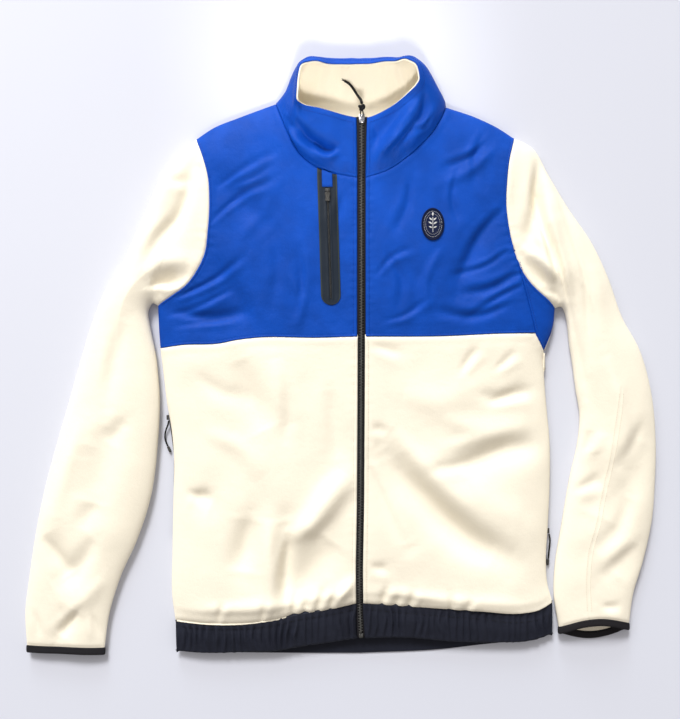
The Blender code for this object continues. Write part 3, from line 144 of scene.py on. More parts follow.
# Zip.
ZIP_HALF_GAP_SHELL = 0.0052
ZIP_HALF_GAP_FLEECE = 0.0044
TAPE_SINK = 0.0014
TAPE_FOOT = 0.024
TAPE_HEAD = 0.668
TEETH_HALF_WIDTH = 0.0026
TEETH_WALL = 0.0017
TEETH_PROUD = 0.0006
TEETH_FOOT = 0.03
TEETH_HEAD = 0.6597
BOTTOM_BOX = (0.0052, 0.0055, 0.0025)
SLIDER = (0.0074, 0.011, 0.0036)
SLIDER_Y = 0.6657
BAIL_REACH = 0.0033
BAIL_RISE = 0.003
BAIL_RADIUS = 0.0006
PULL_LOOP_HALF_WIDTH = 0.0017
PULL_LOOP_FOOT = 0.6672
PULL_LOOP_HEAD = 0.6733
PULL_LOOP_RADIUS = 0.0007
PULL_LOOP_LIFT = 0.0012
KNOT_RADII = (0.0048, 0.0045, 0.004)
KNOT_Y = 0.678

# Places up the centre front.
YOKE_SEAM_AT_ZIP = 0.3995
NECK_AT_ZIP = 0.5955

GATHER_PITCH = 0.009
GATHER_DEPTH = 0.00136
HEM_SWELL = 0.0012

# Sizes by which the panels' grids are spaced.
YOKE_WIDTH = 0.205
YOKE_LENGTH = 0.265
WRAP_WIDTH = 0.052
WRAP_LENGTH = 0.07
BODY_HALF_WIDTH = 0.235
LOWER_LENGTH = 0.34
HEM_LENGTH = 0.042
SLEEVE_WIDTH = 0.175
SLEEVE_LENGTH = 0.6

# How far a panel runs on under its neighbour, and how deep: the back's tucks rise instead.
TUCK_REACH = 0.003
TUCK_DROP = 0.0008
BACK_TUCK_DROP = -0.0016
HEM_TUCK_REACH = 0.0025
HEM_TUCK_DROP = 0.0022
BACK_HEM_TUCK_DROP = -0.0024

# The zip's line: height up the front, distance across.
ZIP_LINE = points(20, 0, 69, -2, 198, -1, 400, 0, 670, 0)

# Edges of the panels, up or across the garment.
SIDE = {
    "right": points(
        -254, 438, -253, 414, -251, 385, -247, 352, -243, 318, -237, 283, -234, 245, -235, 195, -236, 133, -236, 72,
        -232, 44, -231, 25, -231, 4,
    ),
    "left": points(
        242, 435, 240, 414, 228, 382, 229, 345, 232, 308, 235, 277, 236, 237, 235, 198, 233, 158, 231, 120, 233, 90,
        239, 68, 239, 45, 239, 28,
    ),
}
ARMHOLE = {
    "right": points(
        -254, 438, -235, 450, -217, 463, -204, 480, -194, 502, -190, 530, -188, 568, -190, 597, -197, 623, -206, 646,
    ),
    "left": points(
        242, 435, 232, 445, 221, 454, 208, 467, 198, 482, 186, 516, 182, 536, 179, 568, 180, 590, 183, 618, 191, 647,
    ),
}
SHOULDER = {
    "right": points(-206, 646, -185, 660, -153, 673, -107, 690),
    "left": points(191, 647, 171, 660, 144, 673, 106, 686),
}
NECK = {
    "right": points(-5.2, 595.5, -37, 602, -59, 611, -75, 624, -88, 645, -99, 670, -107, 690),
    "left": points(5.2, 595.5, 31, 604, 54, 619, 72, 635, 86, 650, 97, 667, 106, 686),
}
BACK_NECK = {
    "right": points(0, 692, -55, 692, -90, 691, -107, 690),
    "left": points(0, 692, 55, 691, 90, 688, 106, 686),
}
YOKE_SEAM = {
    "right": points(-251, 385, -222, 389, -175, 391, -155, 395, -130, 398, -54, 398, -5.2, 399.5),
    "left": points(216, 404, 167, 403, 102, 400, 5.2, 399.5),
}
# The back yoke comes round the left fold: its edge lies on the lower front, then on the front yoke.
WRAP_CORNER = points(228, 382, 216, 404)
WRAP_SEAM = points(216, 404, 210, 428, 200, 466)
HEM_SEAM = {
    "right": points(-232, 46, -200, 43, -139, 43, -108, 47, -77, 54, -45, 59, -6, 67),
    "left": points(239, 63, 220, 54, 199, 51, 147, 55, 84, 60, 3.5, 67),
}
HEM_FOOT = {
    "right": points(-231, 7, -201, 5, -139, 6, -107, 7, -80, 12, -45, 17, -4.6, 23),
    "left": points(239, 28, 216, 21, 160, 18, 117, 19, 51, 24, 4.4, 23),
}
BACK_YOKE_SEAM = {
    "right": points(-251, 385, -120, 391, 0, 392),
    "left": points(228, 382, 120, 391, 0, 392),
}
BACK_HEM_SEAM = {
    "right": points(-232, 46, -120, 45, 0, 46),
    "left": points(239, 63, 120, 50, 0, 46),
}
BACK_HEM_FOOT = {
    "right": points(-231, 5, -170, 3, -74, 2, 0, 2),
    "left": points(239, 26, 200, 18, 147, 12, 104, 7, 0, 2),
}

# Height of the crown, by distance above the hem seam.
CROWN = points(
    -60, 10.5, -20, 12.8, 0, 12.2, 6, 15, 16, 17.8, 60, 19, 200, 20.5, 350, 21.5, 480, 22.5, 600, 22.5,
)

# Sleeves, from the armhole to the cuff: the outer and inner fold edges and the crown's height between
# them, in millimetres, and how much of the armhole's bow the section still has.
SLEEVE = {
    "right": [
        (-206, 646, -254, 438, 22.5, 1),
        (-240, 615, -259, 441, 24, 0.68),
        (-272, 550, -264, 437, 26.5, 0.32),
        (-299, 491, -266, 425, 27, 0.1),
        (-320, 457, -263, 408, 25, 0.04),
        (-335, 420, -258, 384, 23.5, 0),
        (-351, 368, -254, 352, 23, 0),
        (-366, 315, -252, 318, 23, 0),
        (-381, 263, -254, 270, 23, 0),
        (-395, 211, -262, 204, 22, 0),
        (-407, 152, -280, 146, 21, 0),
        (-415, 98, -301, 99, 19, 0),
        (-420, 54, -315, 53, 17, 0),
        (-418, 14, -321, 11, 14.5, 0),
    ],
    "left": [
        (191, 647, 242, 435, 22.5, 1),
        (213, 636, 248, 437, 24, 0.76),
        (234, 601, 253, 433, 27, 0.44),
        (259, 559, 256, 424, 28.5, 0.22),
        (286, 520, 258, 411, 27, 0.08),
        (307, 477, 260, 391, 25.5, 0.02),
        (326, 424, 264, 366, 24, 0),
        (348, 383, 268, 335, 23.5, 0),
        (363, 327, 273, 302, 23, 0),
        (368, 270, 270, 266, 22.5, 0),
        (367, 216, 260, 221, 22, 0),
        (363, 168, 250, 163, 21.5, 0),
        (352, 118, 242, 114, 21, 0),
        (340, 78, 241, 75, 20.5, 0),
        (335, 42, 247, 37, 19.5, 0),
    ],
}
CUFF_TILT_LEFT = 0.01

# The collar's outer face above the neck seam, halfway up and at the top, in millimetres. The first
# number counts the seam's quarters: 0 at the zip's right edge, 2 at the centre back, 4 at the zip.
COLLAR = [
    (0, -5.6, 632, 31, -6.2, 666, 33),
    (0.22, -36, 639, 33, -30, 671, 35),
    (0.37, -58, 645, 34, -53, 677, 37),
    (0.51, -76, 655, 35, -69, 678.5, 42),
    (0.67, -85, 671, 34.5, -78.5, 682, 47),
    (0.86, -87, 691, 33, -80, 696, 50),
    (1, -86.5, 708, 30, -78, 714, 52),
    (1.08, -85, 722, 27, -75, 725, 52),
    (1.21, -75, 735, 24, -62, 731, 50),
    (1.49, -46, 737, 22, -39, 729, 47),
    (2, 0, 736, 21, 0, 730, 45),
    (2.52, 46, 735, 22, 38, 733, 47),
    (2.79, 74, 732, 24, 57, 734, 50),
    (2.92, 87, 719, 26, 68, 725, 52),
    (3, 93, 704, 28, 71, 713, 50),
    (3.15, 91, 688, 32, 67, 702, 46),
    (3.29, 83, 674, 35, 56, 693, 41),
    (3.44, 68, 661, 36, 42, 683, 37),
    (3.61, 50, 650, 35, 27, 674, 35),
    (3.81, 29, 640, 33, 14, 668, 34),
    (4, 5.6, 632, 31, 6.2, 666, 33),
]
COLLAR_HEIGHT = 0.08

# Large folds of the upper cloth.
FOLDS = marks(
    (-5, 13, 0, -203, 635, -218, 585, -232, 545, -262, 495),
    (3, 14, 0, -250, 600, -262, 550, -277, 500),
    (-5, 10, 0, -262, 466, -245, 470, -222, 474),
    (3, 12, 0, -255, 486, -235, 492, -212, 492),
    (-4, 18, 0, -395, 155, -362, 100),
    (-3, 16, 0, -352, 60, -376, 26),
    (-3, 22, 0, -305, 290, -335, 190),
    (-6, 12, 0, 220, 625, 216, 560, 209, 515),
    (4, 12, 0, 236, 585, 236, 540, 252, 470, 262, 420),
    (-4.5, 13, 0, 240, 550, 254, 500, 268, 440, 272, 350),
    (3, 10, 0, 197, 515, 218, 492, 242, 468),
    (-4.5, 9, 0, 205, 500, 226, 470, 248, 452),
    (-4, 16, 0, 282, 258, 292, 215, 276, 180),
    (-4, 20, 0, 355, 270, 330, 215, 300, 170),
    (-3.5, 16, 0, 350, 135, 318, 100),
    (-5, 13, 0, -95, 175, -94, 120, -94, 75),
    (3, 13, 0, -72, 150, -50, 195, -20, 225),
    (-3.5, 20, 0, -137, 175, -148, 105),
    (3, 10, 0, -30, 65, -12, 95),
    (-3, 14, 0, -210, 200, -185, 190),
    (-4.5, 20, 0, 40, 260, 80, 200, 130, 148, 185, 120),
    (-4, 22, 0, 125, 225, 160, 250, 225, 275),
    (3, 18, 0, 90, 240, 140, 200, 205, 165),
    (-3, 10, 0, 16, 245, 34, 200, 60, 140),
    (-3, 13, 0, -190, 500, -160, 455, -140, 410),
    (-3, 13, 0, -235, 435, -195, 420, -150, 425),
    (-3, 14, 0, 175, 560, 140, 510, 110, 440),
    (-3, 14, 0, -180, 600, -140, 560, -110, 530),
)

# Chest pocket: its welded tape, the zip's line down it and the garage at its top.
POCKET_LINE = points(439, -37.5, 520, -40, 596, -42.5)
POCKET_FOOT = 0.4385
POCKET_HALF_WIDTH = 0.0122
POCKET_TAPE_WALL = 0.0006
POCKET_NECK_MARGIN = 0.0014
ON_CLOTH_GAP = 0.0006
GARAGE_HALF_WIDTH = 0.0065
GARAGE_FOOT = 0.5835
GARAGE_WALL = 0.0009
COIL_WALL = 0.0007
COIL_FOOT = 0.447
COIL_HEAD = 0.5735
COIL_PITCH = 0.00065
POCKET_SLIDER = (0.006, 0.008, 0.0022)
POCKET_SLIDER_Y = 0.578
PULL_BAR_LIFT = 0.002
PULL_BAR_HALF_WIDTH = 0.0022
PULL_BAR_RADIUS = 0.0006
PULL_EYE_OUTER = 0.0017
PULL_EYE_INNER = 0.001
PULL_EYE_HALF_WIDTH = 0.0011
PULL_TAB = (0.0072, 0.0112, 0.0018)
PULL_TAB_START = 0.0013
PULL_TAB_DROOP = math.radians(9)

BADGE_X = 0.088
BADGE_Y = 0.538
BADGE_HALF_WIDTH = 0.0138
BADGE_HALF_HEIGHT = 0.02
BADGE_WALL = 0.0009

# Pull cords, as routes of x, y and z.
CORD_RADIUS = 0.0017
ZIP_CORD = points(
    0, 683.4, 36.8, -1, 688, 33.5, -3, 693, 27, -5, 698, 20.5, -7.5, 703, 17.2, -11, 708, 17.5, -16, 713, 19.2,
    -21, 715.5, 20.5, width=3,
)
LOOP_RADIUS = 0.001
LOOP = {
    "right": points(
        -241.2, 294, 5.6, -242.4, 289, 4.8, -244.5, 284, 3.8, -246.2, 278, 2.8, -246.4, 272, 2.3, -245, 266.5, 2.1,
        -243, 262, 2.1, width=3,
    ),
    "left": points(
        235.6, 152, 5.6, 236.6, 148, 4.8, 237.2, 143, 3.6, 237, 138, 2.6, 236.4, 132, 2.1, 235.8, 126, 2.1,
        235.2, 120.5, 2.1, width=3,
    ),
}
GRIP_LENGTH = 0.008
GRIP_RADIUS = 0.0018

# Shares of the panels' edges at which their corners lie.
ARMPIT_ROW = 0.18
WRAP_ROW = 0.5
CORNER_ROW = 0.69
WRAP_CORNER_COLUMN = 0.1
COLLAR_ROLL = 0.0011
TUCK_FLOOR = 0.0012
LINING_BULGE = (0.0, -0.005, 0.0025)
INNER_BACK_REACH = 0.055
ZIP_STITCH_IN = 0.0046
SHELL_STITCH_IN = 0.0028

# Spacing of the finer grids.
SEAM_STEPS = (0.0, 0.0005, 0.0011, 0.0018, 0.0026, 0.0036, 0.005, 0.0068)
FOLD_STEPS = (0.0, 0.0002, 0.0006, 0.0012, 0.002, 0.003, 0.0043, 0.006, 0.008, 0.0105)
EVEN_STEPS = (0.0, 0.003)
TOP_PITCH = 0.0027
UNDER_PITCH = 0.006
COLLAR_PITCH = 0.0026
HEM_PITCH = 0.0014
LINE_PITCH = 0.0035

# The double-stitched seam down the left sleeve.
SLEEVE_SEAM = points(320, 336, 318.5, 318, 315, 286, 309, 243, 302.5, 210, 294, 169, 284, 133, 281, 101, 283, 46)

# Small creases.
FLEECE_CREASES = marks(
    (-2.4, 7, 0.4, 224, 626, 218, 568, 236, 502, 253, 450),
    (-1.6, 3.4, 0.8, 233, 534, 248, 475, 261, 423, 273, 364, 279, 324),
    (-1, 4, 0.6, 238, 590, 262, 519, 276, 475, 281, 420, 283, 360),
    (1.2, 10, 0, 252, 580, 272, 530, 292, 470, 300, 400),
    (-3, 16, 0, 24, 262, 66, 205, 110, 160, 168, 122),
    (1.8, 13, 0, 36, 286, 85, 228, 135, 182, 198, 140),
    (-1.8, 10, 0, 85, 234, 135, 244, 190, 262, 222, 262),
    (1.4, 11, 0, 105, 262, 160, 276, 212, 288),
    (-1.2, 9, 0, 146, 328, 172, 324, 208, 338),
    (1.2, 18, 0, 50, 330, 95, 318, 140, 345),
    (2.2, 11, 0, -92, 150, -64, 168, -42, 194, -20, 234),
    (-4, 21, 0, -78, 60, -66, 110, -40, 150),
    (2.2, 10, 0, -114, 60, -114, 120, -112, 176),
    (-2.2, 17, 0, -152, 372, -138, 325, -118, 282),
    (1.3, 14, 0, -108, 374, -98, 330, -88, 290),
    (-1.2, 10, 0, -40, 335, -34, 290, -30, 245),
    (1.4, 9, 0, -205, 62, -120, 64, -22, 82),
    (1.4, 9, 0, 22, 86, 110, 70, 205, 62),
    (-1.8, 14, 0, -292, 420, -316, 340, -338, 262),
    (1.5, 12, 0, -345, 300, -372, 220, -395, 140),
    (-1.8, 12, 0, -330, 150, -352, 112, -384, 88),
    (1.4, 11, 0, -318, 100, -344, 72, -372, 56),
    (-1.8, 12, 0, 262, 400, 280, 330, 300, 262),
    (1.5, 11, 0, 300, 380, 322, 300, 330, 230),
    (-1.8, 11, 0, 334, 200, 318, 160, 288, 132),
    (-1.6, 11, 0, 300, 590, 282, 545, 292, 480),
    (-1.4, 6.5, 0.3, -214, 207, -201, 202, -186, 204),
    (-1.5, 5.6, 0.7, -90, 150, -95, 110, -94, 55),
    (1, 8, 0.2, -85, 146, -64, 158, -27, 200, -11, 226),
    (-1.2, 11, 0.3, -138, 180, -144, 145, -150, 106),
    (1.2, 5, 0.3, -31, 70, -20, 86, -9, 98),
    (-1.4, 4, 0.4, -86, 46, -84, 64, -81, 82),
    (-1.2, 3.8, 0.4, -71, 50, -69, 66, -70, 78),
    (-1.5, 4.2, 0.4, -56, 54, -52, 70, -46, 90),
    (-1.1, 3.6, 0.4, -40, 57, -37, 70, -34, 80),
    (-1, 3.6, 0.4, -125, 44, -122, 58, -123, 68),
    (-1, 3.8, 0.4, -178, 42, -176, 56, -171, 70),
    (1.3, 5.5, 0.5, 14, 246, 32, 205, 58, 145),
    (-1, 6, 0.3, 13, 116, 24, 112, 33, 114),
    (-0.9, 6.5, 0.3, 14, 288, 24, 284, 31, 279),
    (-1, 5, 0.5, 123, 355, 133, 372, 144, 387),
    (-0.9, 4.8, 0.5, 166, 359, 180, 371, 191, 382),
    (-1.2, 6, 0.4, 158, 318, 186, 328, 214, 332),
    (-0.8, 6, 0.4, 14, 389, 32, 384, 51, 378),
    (-1.4, 4, 0.4, 25, 58, 27, 74, 33, 90),
    (-1.1, 3.6, 0.4, 40, 56, 43, 68, 45, 78),
    (-1.3, 4, 0.4, 56, 56, 61, 70, 64, 84),
    (-1.1, 4, 0.4, 108, 53, 112, 66, 110, 80),
    (-1.1, 3.8, 0.4, 127, 52, 132, 64, 137, 74),
    (-1.2, 12, 0.3, 52, 232, 90, 192, 134, 152, 196, 121),
    (1, 12, 0.2, 100, 300, 140, 286, 190, 292),
    (-0.8, 10, 0.3, -205, 352, -170, 330, -130, 322),
    (0.9, 11, 0.2, -190, 280, -150, 262, -120, 225),
    (-0.9, 8, 0.3, -95, 345, -90, 300, -96, 262),
    (-1.2, 6, 0.5, -211, 620, -214, 583, -229, 544, -249, 524, -267, 490),
    (-2, 4.2, 0.7, -262, 461, -249, 466, -236, 465, -224, 469),
    (-1.2, 5.5, 0.4, -243, 596, -228, 592, -214, 595),
    (-0.9, 5, 0.4, -204, 612, -199, 606, -196, 598),
    (-1.3, 7.5, 0.4, -396, 153, -380, 130, -361, 104),
    (-1.4, 5.5, 0.5, -350, 60, -362, 44, -377, 26),
    (-1, 5, 0.4, -407, 58, -403, 40, -401, 24),
    (-1.1, 4.5, 0.4, -334, 53, -329, 38, -324, 24),
    (-1, 10, 0.3, -290, 296, -303, 282, -312, 266),
    (-0.9, 11, 0.3, -326, 192, -338, 178, -345, 160),
    (1, 11, 0.2, -318, 400, -322, 330, -345, 250),
    (-1.6, 6, 0.4, 219, 622, 214.5, 552, 207, 513),
    (-2.2, 5, 0.8, 221, 574, 223.5, 540, 233, 509, 245.5, 465, 252, 437),
    (1.4, 6.5, 0.3, 196, 513, 218, 492, 242, 467),
    (-1.6, 4.2, 0.6, 226, 456, 238, 453, 248, 444),
    (-1.7, 6, 0.4, 277, 256, 281, 268, 284, 284),
    (-1.4, 7, 0.4, 262, 208, 280, 216, 298, 225),
    (-1.2, 8.5, 0.3, 347, 143, 322, 122, 295, 98),
    (-1, 5.5, 0.4, 299, 66, 311, 64, 324, 66),
    (-1, 8, 0.3, 350, 296, 331, 258, 315, 232),
    (1, 9, 0.3, 250, 620, 262, 570, 281, 520),
)
SHELL_CREASES = marks(
    (0.6, 8, 0, -150, 520, -120, 555, -104, 600),
    (-0.6, 7, 0, -112, 430, -104, 480, -108, 530),
    (-0.7, 3.4, 0.6, -179, 585, -142, 609, -103, 630),
    (-0.5, 3, 0.6, -159, 588, -130, 598, -112, 612),
    (-0.8, 3.6, 0.6, -188, 540, -145, 577, -108, 593),
    (-0.8, 3.6, 0.6, -234, 446, -188, 467, -145, 499),
    (-0.6, 3, 0.6, -244, 424, -203, 436, -161, 458),
    (-0.6, 3, 0.6, -232, 412, -193, 417, -153, 424),
    (-0.7, 4, 0.6, -82, 419, -74, 467, -79, 509),
    (-0.6, 3.2, 0.6, 185, 509, 154, 487, 112, 475),
    (-0.7, 3.4, 0.6, 207, 467, 175, 451, 133, 424),
    (-0.7, 3.4, 0.6, 18, 475, 39, 499, 62, 509),
    (-0.6, 3.2, 0.6, 28, 419, 49, 424, 81, 446),
    (-0.6, 3.4, 0.6, 117, 603, 112, 572, 120, 540),
    (-0.7, 3.6, 0.6, 154, 640, 139, 625, 102, 609),
    (-0.9, 5, 0.5, -236, 430, -190, 424, -140, 431),
    (0.7, 5, 0.3, -90, 480, -75, 440, -80, 410),
    (-0.7, 4.5, 0.4, -22, 575, -28, 548, -24, 520),
    (-0.8, 5, 0.5, 180, 562, 150, 530, 121, 470),
    (-1, 5, 0.5, 196, 480, 160, 459, 120, 452),
    (-0.9, 5, 0.5, 186, 440, 140, 424, 90, 431),
    (0.8, 6, 0.3, 165, 632, 131, 602, 98, 588),
    (-0.8, 5, 0.4, 62, 600, 56, 560, 40, 528),
    (-0.7, 5, 0.4, 30, 505, 50, 470, 46, 430),
    (0.7, 5.5, 0.3, 100, 510, 80, 470, 82, 420),
    (-0.6, 4.5, 0.4, 150, 650, 140, 620, 142, 590),
)
COLLAR_CREASES = marks(
    (-7, 3.2, 0.8, -58, 637, -42, 627, -30, 632),
    (-4, 3, 0.9, -88, 660, -72, 643, -50, 630),
    (-3.6, 3, 0.9, 68, 665, 48, 640, 26, 618),
    (-3, 2.8, 0.8, 85, 668, 78, 656, 64, 650),
    (-11, 8, 0.5, -84, 664, -62, 637, -34, 624),
    (5, 6.5, 0.2, -82, 650, -58, 626, -30, 616),
    (6, 8, 1, 62, 678, 40, 645, 14, 610),
    (-5.6, 6, 0.6, 76, 695, 77, 678, 70, 652),
    (-2.6, 6, 0.6, -75, 690, -72, 675, -60, 662),
    (3.6, 6, 0.5, 84, 675, 70, 650, 50, 630),
    (-1.2, 6, 0.5, -30, 655, -24, 635, -26, 615),
    (-1.2, 5.5, 0.5, 48, 640, 56, 628, 60, 618),
)
# The same, by distance round the neck seam from the zip and up from it.
COLLAR_ROUND = marks(
    (-1.2, 6, 0.4, 190, 6, 196, 40, 192, 70),
    (-1, 6, 0.4, 260, 6, 255, 36, 262, 68),
    (-1.2, 6, 0.4, 330, 6, 336, 42, 328, 70),
)
# Folds of the lining, by the same distances.
LINING_CREASES = marks(
    (3, 6, 0.6, 205, 0, 212, 35, 206, 74),
    (2.6, 7, 0.5, 245, 0, 238, 40, 246, 70),
    (2.4, 6, 0.5, 296, 0, 305, 36, 300, 70),
    (3, 6, 0.6, 330, 0, 322, 35, 331, 74),
)
BACK_CREASES = marks(
    (1.8, 9, 0, -200, 330, -120, 300, -30, 312),
    (2, 10, 0, -185, 185, -110, 125, -60, 75),
    (1.6, 8.5, 0, 190, 305, 105, 262, 20, 272),
    (2, 10, 0, 165, 140, 85, 200, 5, 190),
    (1.4, 8, 0, -150, 550, -100, 585, -55, 595),
    (1.4, 8, 0, 150, 520, 100, 560, 50, 565),
    (1.8, 8.5, 0, -335, 370, -310, 340, -300, 300),
    (1.8, 8.5, 0, -365, 205, -330, 180, -300, 150),
    (1.8, 8.5, 0, 335, 330, 310, 305, 298, 270),
    (1.6, 8.5, 0, 332, 165, 300, 140, 278, 110),
    (1.6, 8.5, 0, -268, 505, -285, 470, -290, 440),
    (1.6, 8.5, 0, 270, 480, 290, 450, 300, 420),
)


# Each panel's cut: width, length and area, in metres and square metres.
CUTS = {
    "back_lower": (0.5, 0.351, 0.165),
    "front_lower_right": (0.252, 0.36, 0.0837),
    "front_lower_left": (0.245, 0.355, 0.0807),
    "back_yoke": (0.52, 0.33, 0.1231),
    "front_yoke_right": (0.255, 0.3, 0.0523),
    "front_yoke_left": (0.212, 0.3, 0.0466),
    "hem_band_back": (0.493, 0.047, 0.0221),
    "hem_band_front_right": (0.243, 0.047, 0.0099),
    "hem_band_front_left": (0.248, 0.048, 0.0104),
    "sleeve_right_top": (0.248, 0.683, 0.0697),
    "sleeve_right_under": (0.246, 0.68, 0.0686),
    "sleeve_left_top": (0.244, 0.663, 0.0613),
    "sleeve_left_under": (0.243, 0.66, 0.0609),
    "cuff_binding_right": (0.209, 0.012, 0.0023),
    "cuff_binding_left": (0.201, 0.012, 0.0022),
    "collar_outer": (0.526, 0.089, 0.0327),
    "collar_lining": (0.516, 0.137, 0.04),
}


def through(at, values, wanted):
    """Values read at `wanted` from the smooth curve that passes through (at, values)."""
    at = np.asarray(at, float)
    values = np.asarray(values, float).reshape(len(at), -1)
    gaps = np.diff(at)[:, None]
    slopes = np.diff(values, axis=0) / gaps
    inner = (slopes[:-1] * gaps[1:] + slopes[1:] * gaps[:-1]) / (gaps[:-1] + gaps[1:])
    tangents = np.vstack([slopes[:1], inner, slopes[-1:]])
    wanted = np.clip(np.asarray(wanted, float), at[0], at[-1])
    left = np.clip(np.searchsorted(at, wanted, side="right") - 1, 0, len(at) - 2)
    gap = gaps[left]
    t = ((wanted - at[left]) / gap[..., 0])[..., None]
    from_left = values[left] * (1 + 2 * t) * (1 - t) ** 2 + tangents[left] * gap * t * (1 - t) ** 2
    from_right = values[left + 1] * t**2 * (3 - 2 * t) - tangents[left + 1] * gap * t**2 * (1 - t)
    return from_left + from_right


def edge(*tables):
    """A function of the share, 0 to 1, along the smooth edge through one or more tables of points."""
    parts = [np.asarray(table, float) for table in tables]
    runs = [np.linalg.norm(np.diff(part, axis=0), axis=1) for part in parts]
    ends = np.concatenate([[0], np.cumsum([run.sum() for run in runs])])
    ends = ends / ends[-1]

    def at(share):
        share = np.asarray(share, float)
        found = np.zeros(share.shape + (2,))
        for index, (part, run) in enumerate(zip(parts, runs)):
            low, high = ends[index], ends[index + 1]
            mine = (share >= low) if index else (share >= -1)
            stations = np.concatenate([[0], np.cumsum(run)]) / run.sum()
            local = through(stations, part, (share - low) / (high - low))
            found = np.where(mine[..., None], local, found)
        return found

    return at


def knotted(curve, *knots):
    """The same edge read by row share, so that named places fall on chosen rows: (row, share)."""
    rows = [knot[0] for knot in knots]
    shares = [knot[1] for knot in knots]
    return lambda row: curve(np.interp(row, rows, shares))


def backwards(table):
    return list(reversed(table))


def read_off(table, at):
    """The second column of a table, read along its first."""
    return np.interp(at, *np.transpose(table))


def eased(share):
    """A share held between 0 and 1 that starts and ends gently."""
    share = np.clip(share, 0, 1)
    return share**2 * (3 - 2 * share)


def length_of(points):
    return float(np.linalg.norm(np.diff(np.asarray(points), axis=0), axis=1).sum())


def distances(path):
    """How far along a path each of its points lies."""
    return np.concatenate([[0], np.cumsum(np.linalg.norm(np.diff(path, axis=0), axis=1))])


def sleeve_rails(side):
    """The sections of a sleeve in metres, and the share of its length at which each one lies."""
    rows = np.array(SLEEVE[side]) / (MM, MM, MM, MM, MM, 1)
    stations = distances((rows[:, 0:2] + rows[:, 2:4]) / 2)
    return stations / stations[-1], rows


def line_distance(x, y, line):
    """Signed distance from each point to a polyline, and how far along it the nearest place is."""
    shape = np.shape(x)
    x, y = np.ravel(x), np.ravel(y)
    line = np.asarray(line, float)
    best = np.full(len(x), np.inf)
    along, side = np.zeros(len(x)), np.ones(len(x))
    so_far = 0.0
    for start, step in zip(line[:-1], np.diff(line, axis=0)):
        length = float(np.hypot(*step))
        away_x, away_y = x - start[0], y - start[1]
        t = np.clip((away_x * step[0] + away_y * step[1]) / length**2, 0, 1)
        squared = (away_x - t * step[0]) ** 2 + (away_y - t * step[1]) ** 2
        near = squared < best
        best[near] = squared[near]
        along[near] = so_far + t[near] * length
        side[near] = np.where(away_x[near] * step[1] - away_y[near] * step[0] > 0, 1, -1)
        so_far += length
    return (np.sqrt(best) * side).reshape(shape), along.reshape(shape)


def away_from(x, y, line):
    return np.abs(line_distance(x, y, line)[0])


def sleeve_edge(side, first_column):
    stations, rows = sleeve_rails(side)
    return through(stations, rows[:, first_column : first_column + 2], EDGE_SHARES)


EDGE_SHARES = np.linspace(0, 1, 110)
FOLD_EDGES = [edge(table[side])(EDGE_SHARES) for table in (SIDE, SHOULDER) for side in SIDES]
FOLD_EDGES += [sleeve_edge(side, column) for side in SIDES for column in (0, 2)]
FOLD_LINES = [(rise, width, edge(line)(np.linspace(0, 1, 16))) for rise, width, _, line in FOLDS]


def fold_distance(x, y):
    return np.min([away_from(x, y, line) for line in FOLD_EDGES], axis=0)


def hem_seam_height(x):
    return read_off(HEM_SEAM["right"] + backwards(HEM_SEAM["left"]), x)


def body_crown(x, y):
    return read_off(CROWN, y - hem_seam_height(x))


def ends_faded(along, length):
    share = np.clip(along / length, 0.04, 0.96)
    return np.sqrt(np.clip(np.sin(np.pi * share), 0, 1))


def folds(x, y):
    """The sum of the large folds: each is a soft ridge or trough that fades at its two ends."""
    total = np.zeros(np.shape(x))
    for rise, width, line in FOLD_LINES:
        distance, along = line_distance(x, y, line)
        total = total + rise * ends_faded(along, length_of(line)) * np.exp(-((distance / width) ** 2))
    return total


def creases(x, y, table):
    """Small creases: each is a trough, or a ridge, with a lower swell beside it on one side."""
    total = np.zeros(np.shape(x))
    for rise, width, swell, line in table:
        curve = edge(line)(np.linspace(0, 1, 12))
        reach = 4 * width
        low, high = curve.min(axis=0) - reach, curve.max(axis=0) + reach
        near = (x > low[0]) & (x < high[0]) & (y > low[1]) & (y < high[1])
        if not near.any():
            continue
        distance, along = line_distance(x[near], y[near], curve)
        share = along / length_of(curve)
        fade = np.clip(np.sin(np.pi * np.clip(share, 0.02, 0.98)), 0, 1) ** 0.6
        narrow = width * (0.75 + 0.5 * share)
        body = np.exp(-((distance / narrow) ** 2))
        beside = np.exp(-(((distance - 1.9 * narrow) / (1.2 * narrow)) ** 2))
        total[near] += rise * fade * (body - swell * beside)
    return total


LATTICE = np.random.default_rng(11).random((6, 64, 64)) * 2 - 1


def noise(x, y, size, layer=0):
    """Smooth noise between -1 and 1 whose lumps are about `size` across."""
    px, py = np.asarray(x) / size + 200.37, np.asarray(y) / size + 200.81
    left, below = np.floor(px).astype(int), np.floor(py).astype(int)
    fx, fy = px - left, py - below
    fx, fy = fx**2 * (3 - 2 * fx), fy**2 * (3 - 2 * fy)
    grid = LATTICE[layer]
    corner = lambda i, j: grid[(left + i) % 64, (below + j) % 64]
    low = corner(0, 0) * (1 - fx) + corner(1, 0) * fx
    high = corner(0, 1) * (1 - fx) + corner(1, 1) * fx
    return low * (1 - fy) + high * fy


def bump(distance, centre, width):
    return np.exp(-(((distance - centre) / width) ** 2))


def rise_from_fold(x, y):
    inward = np.clip(fold_distance(x, y) / EDGE_REACH, 0, 1)
    return np.sqrt(1 - (1 - inward) ** 2)


def top_height(x, y, crown=None, fine=None):
    """Height of the upper cloth's outer face. `fine` adds the small creases of one kind of cloth."""
    if crown is None:
        crown = body_crown(x, y)
    rise = rise_from_fold(x, y)
    height = EDGE_HEIGHT + (crown - EDGE_HEIGHT) * rise + folds(x, y) * rise**2
    if fine is not None:
        height = height + fine(x, y) * rise**1.5
    return height


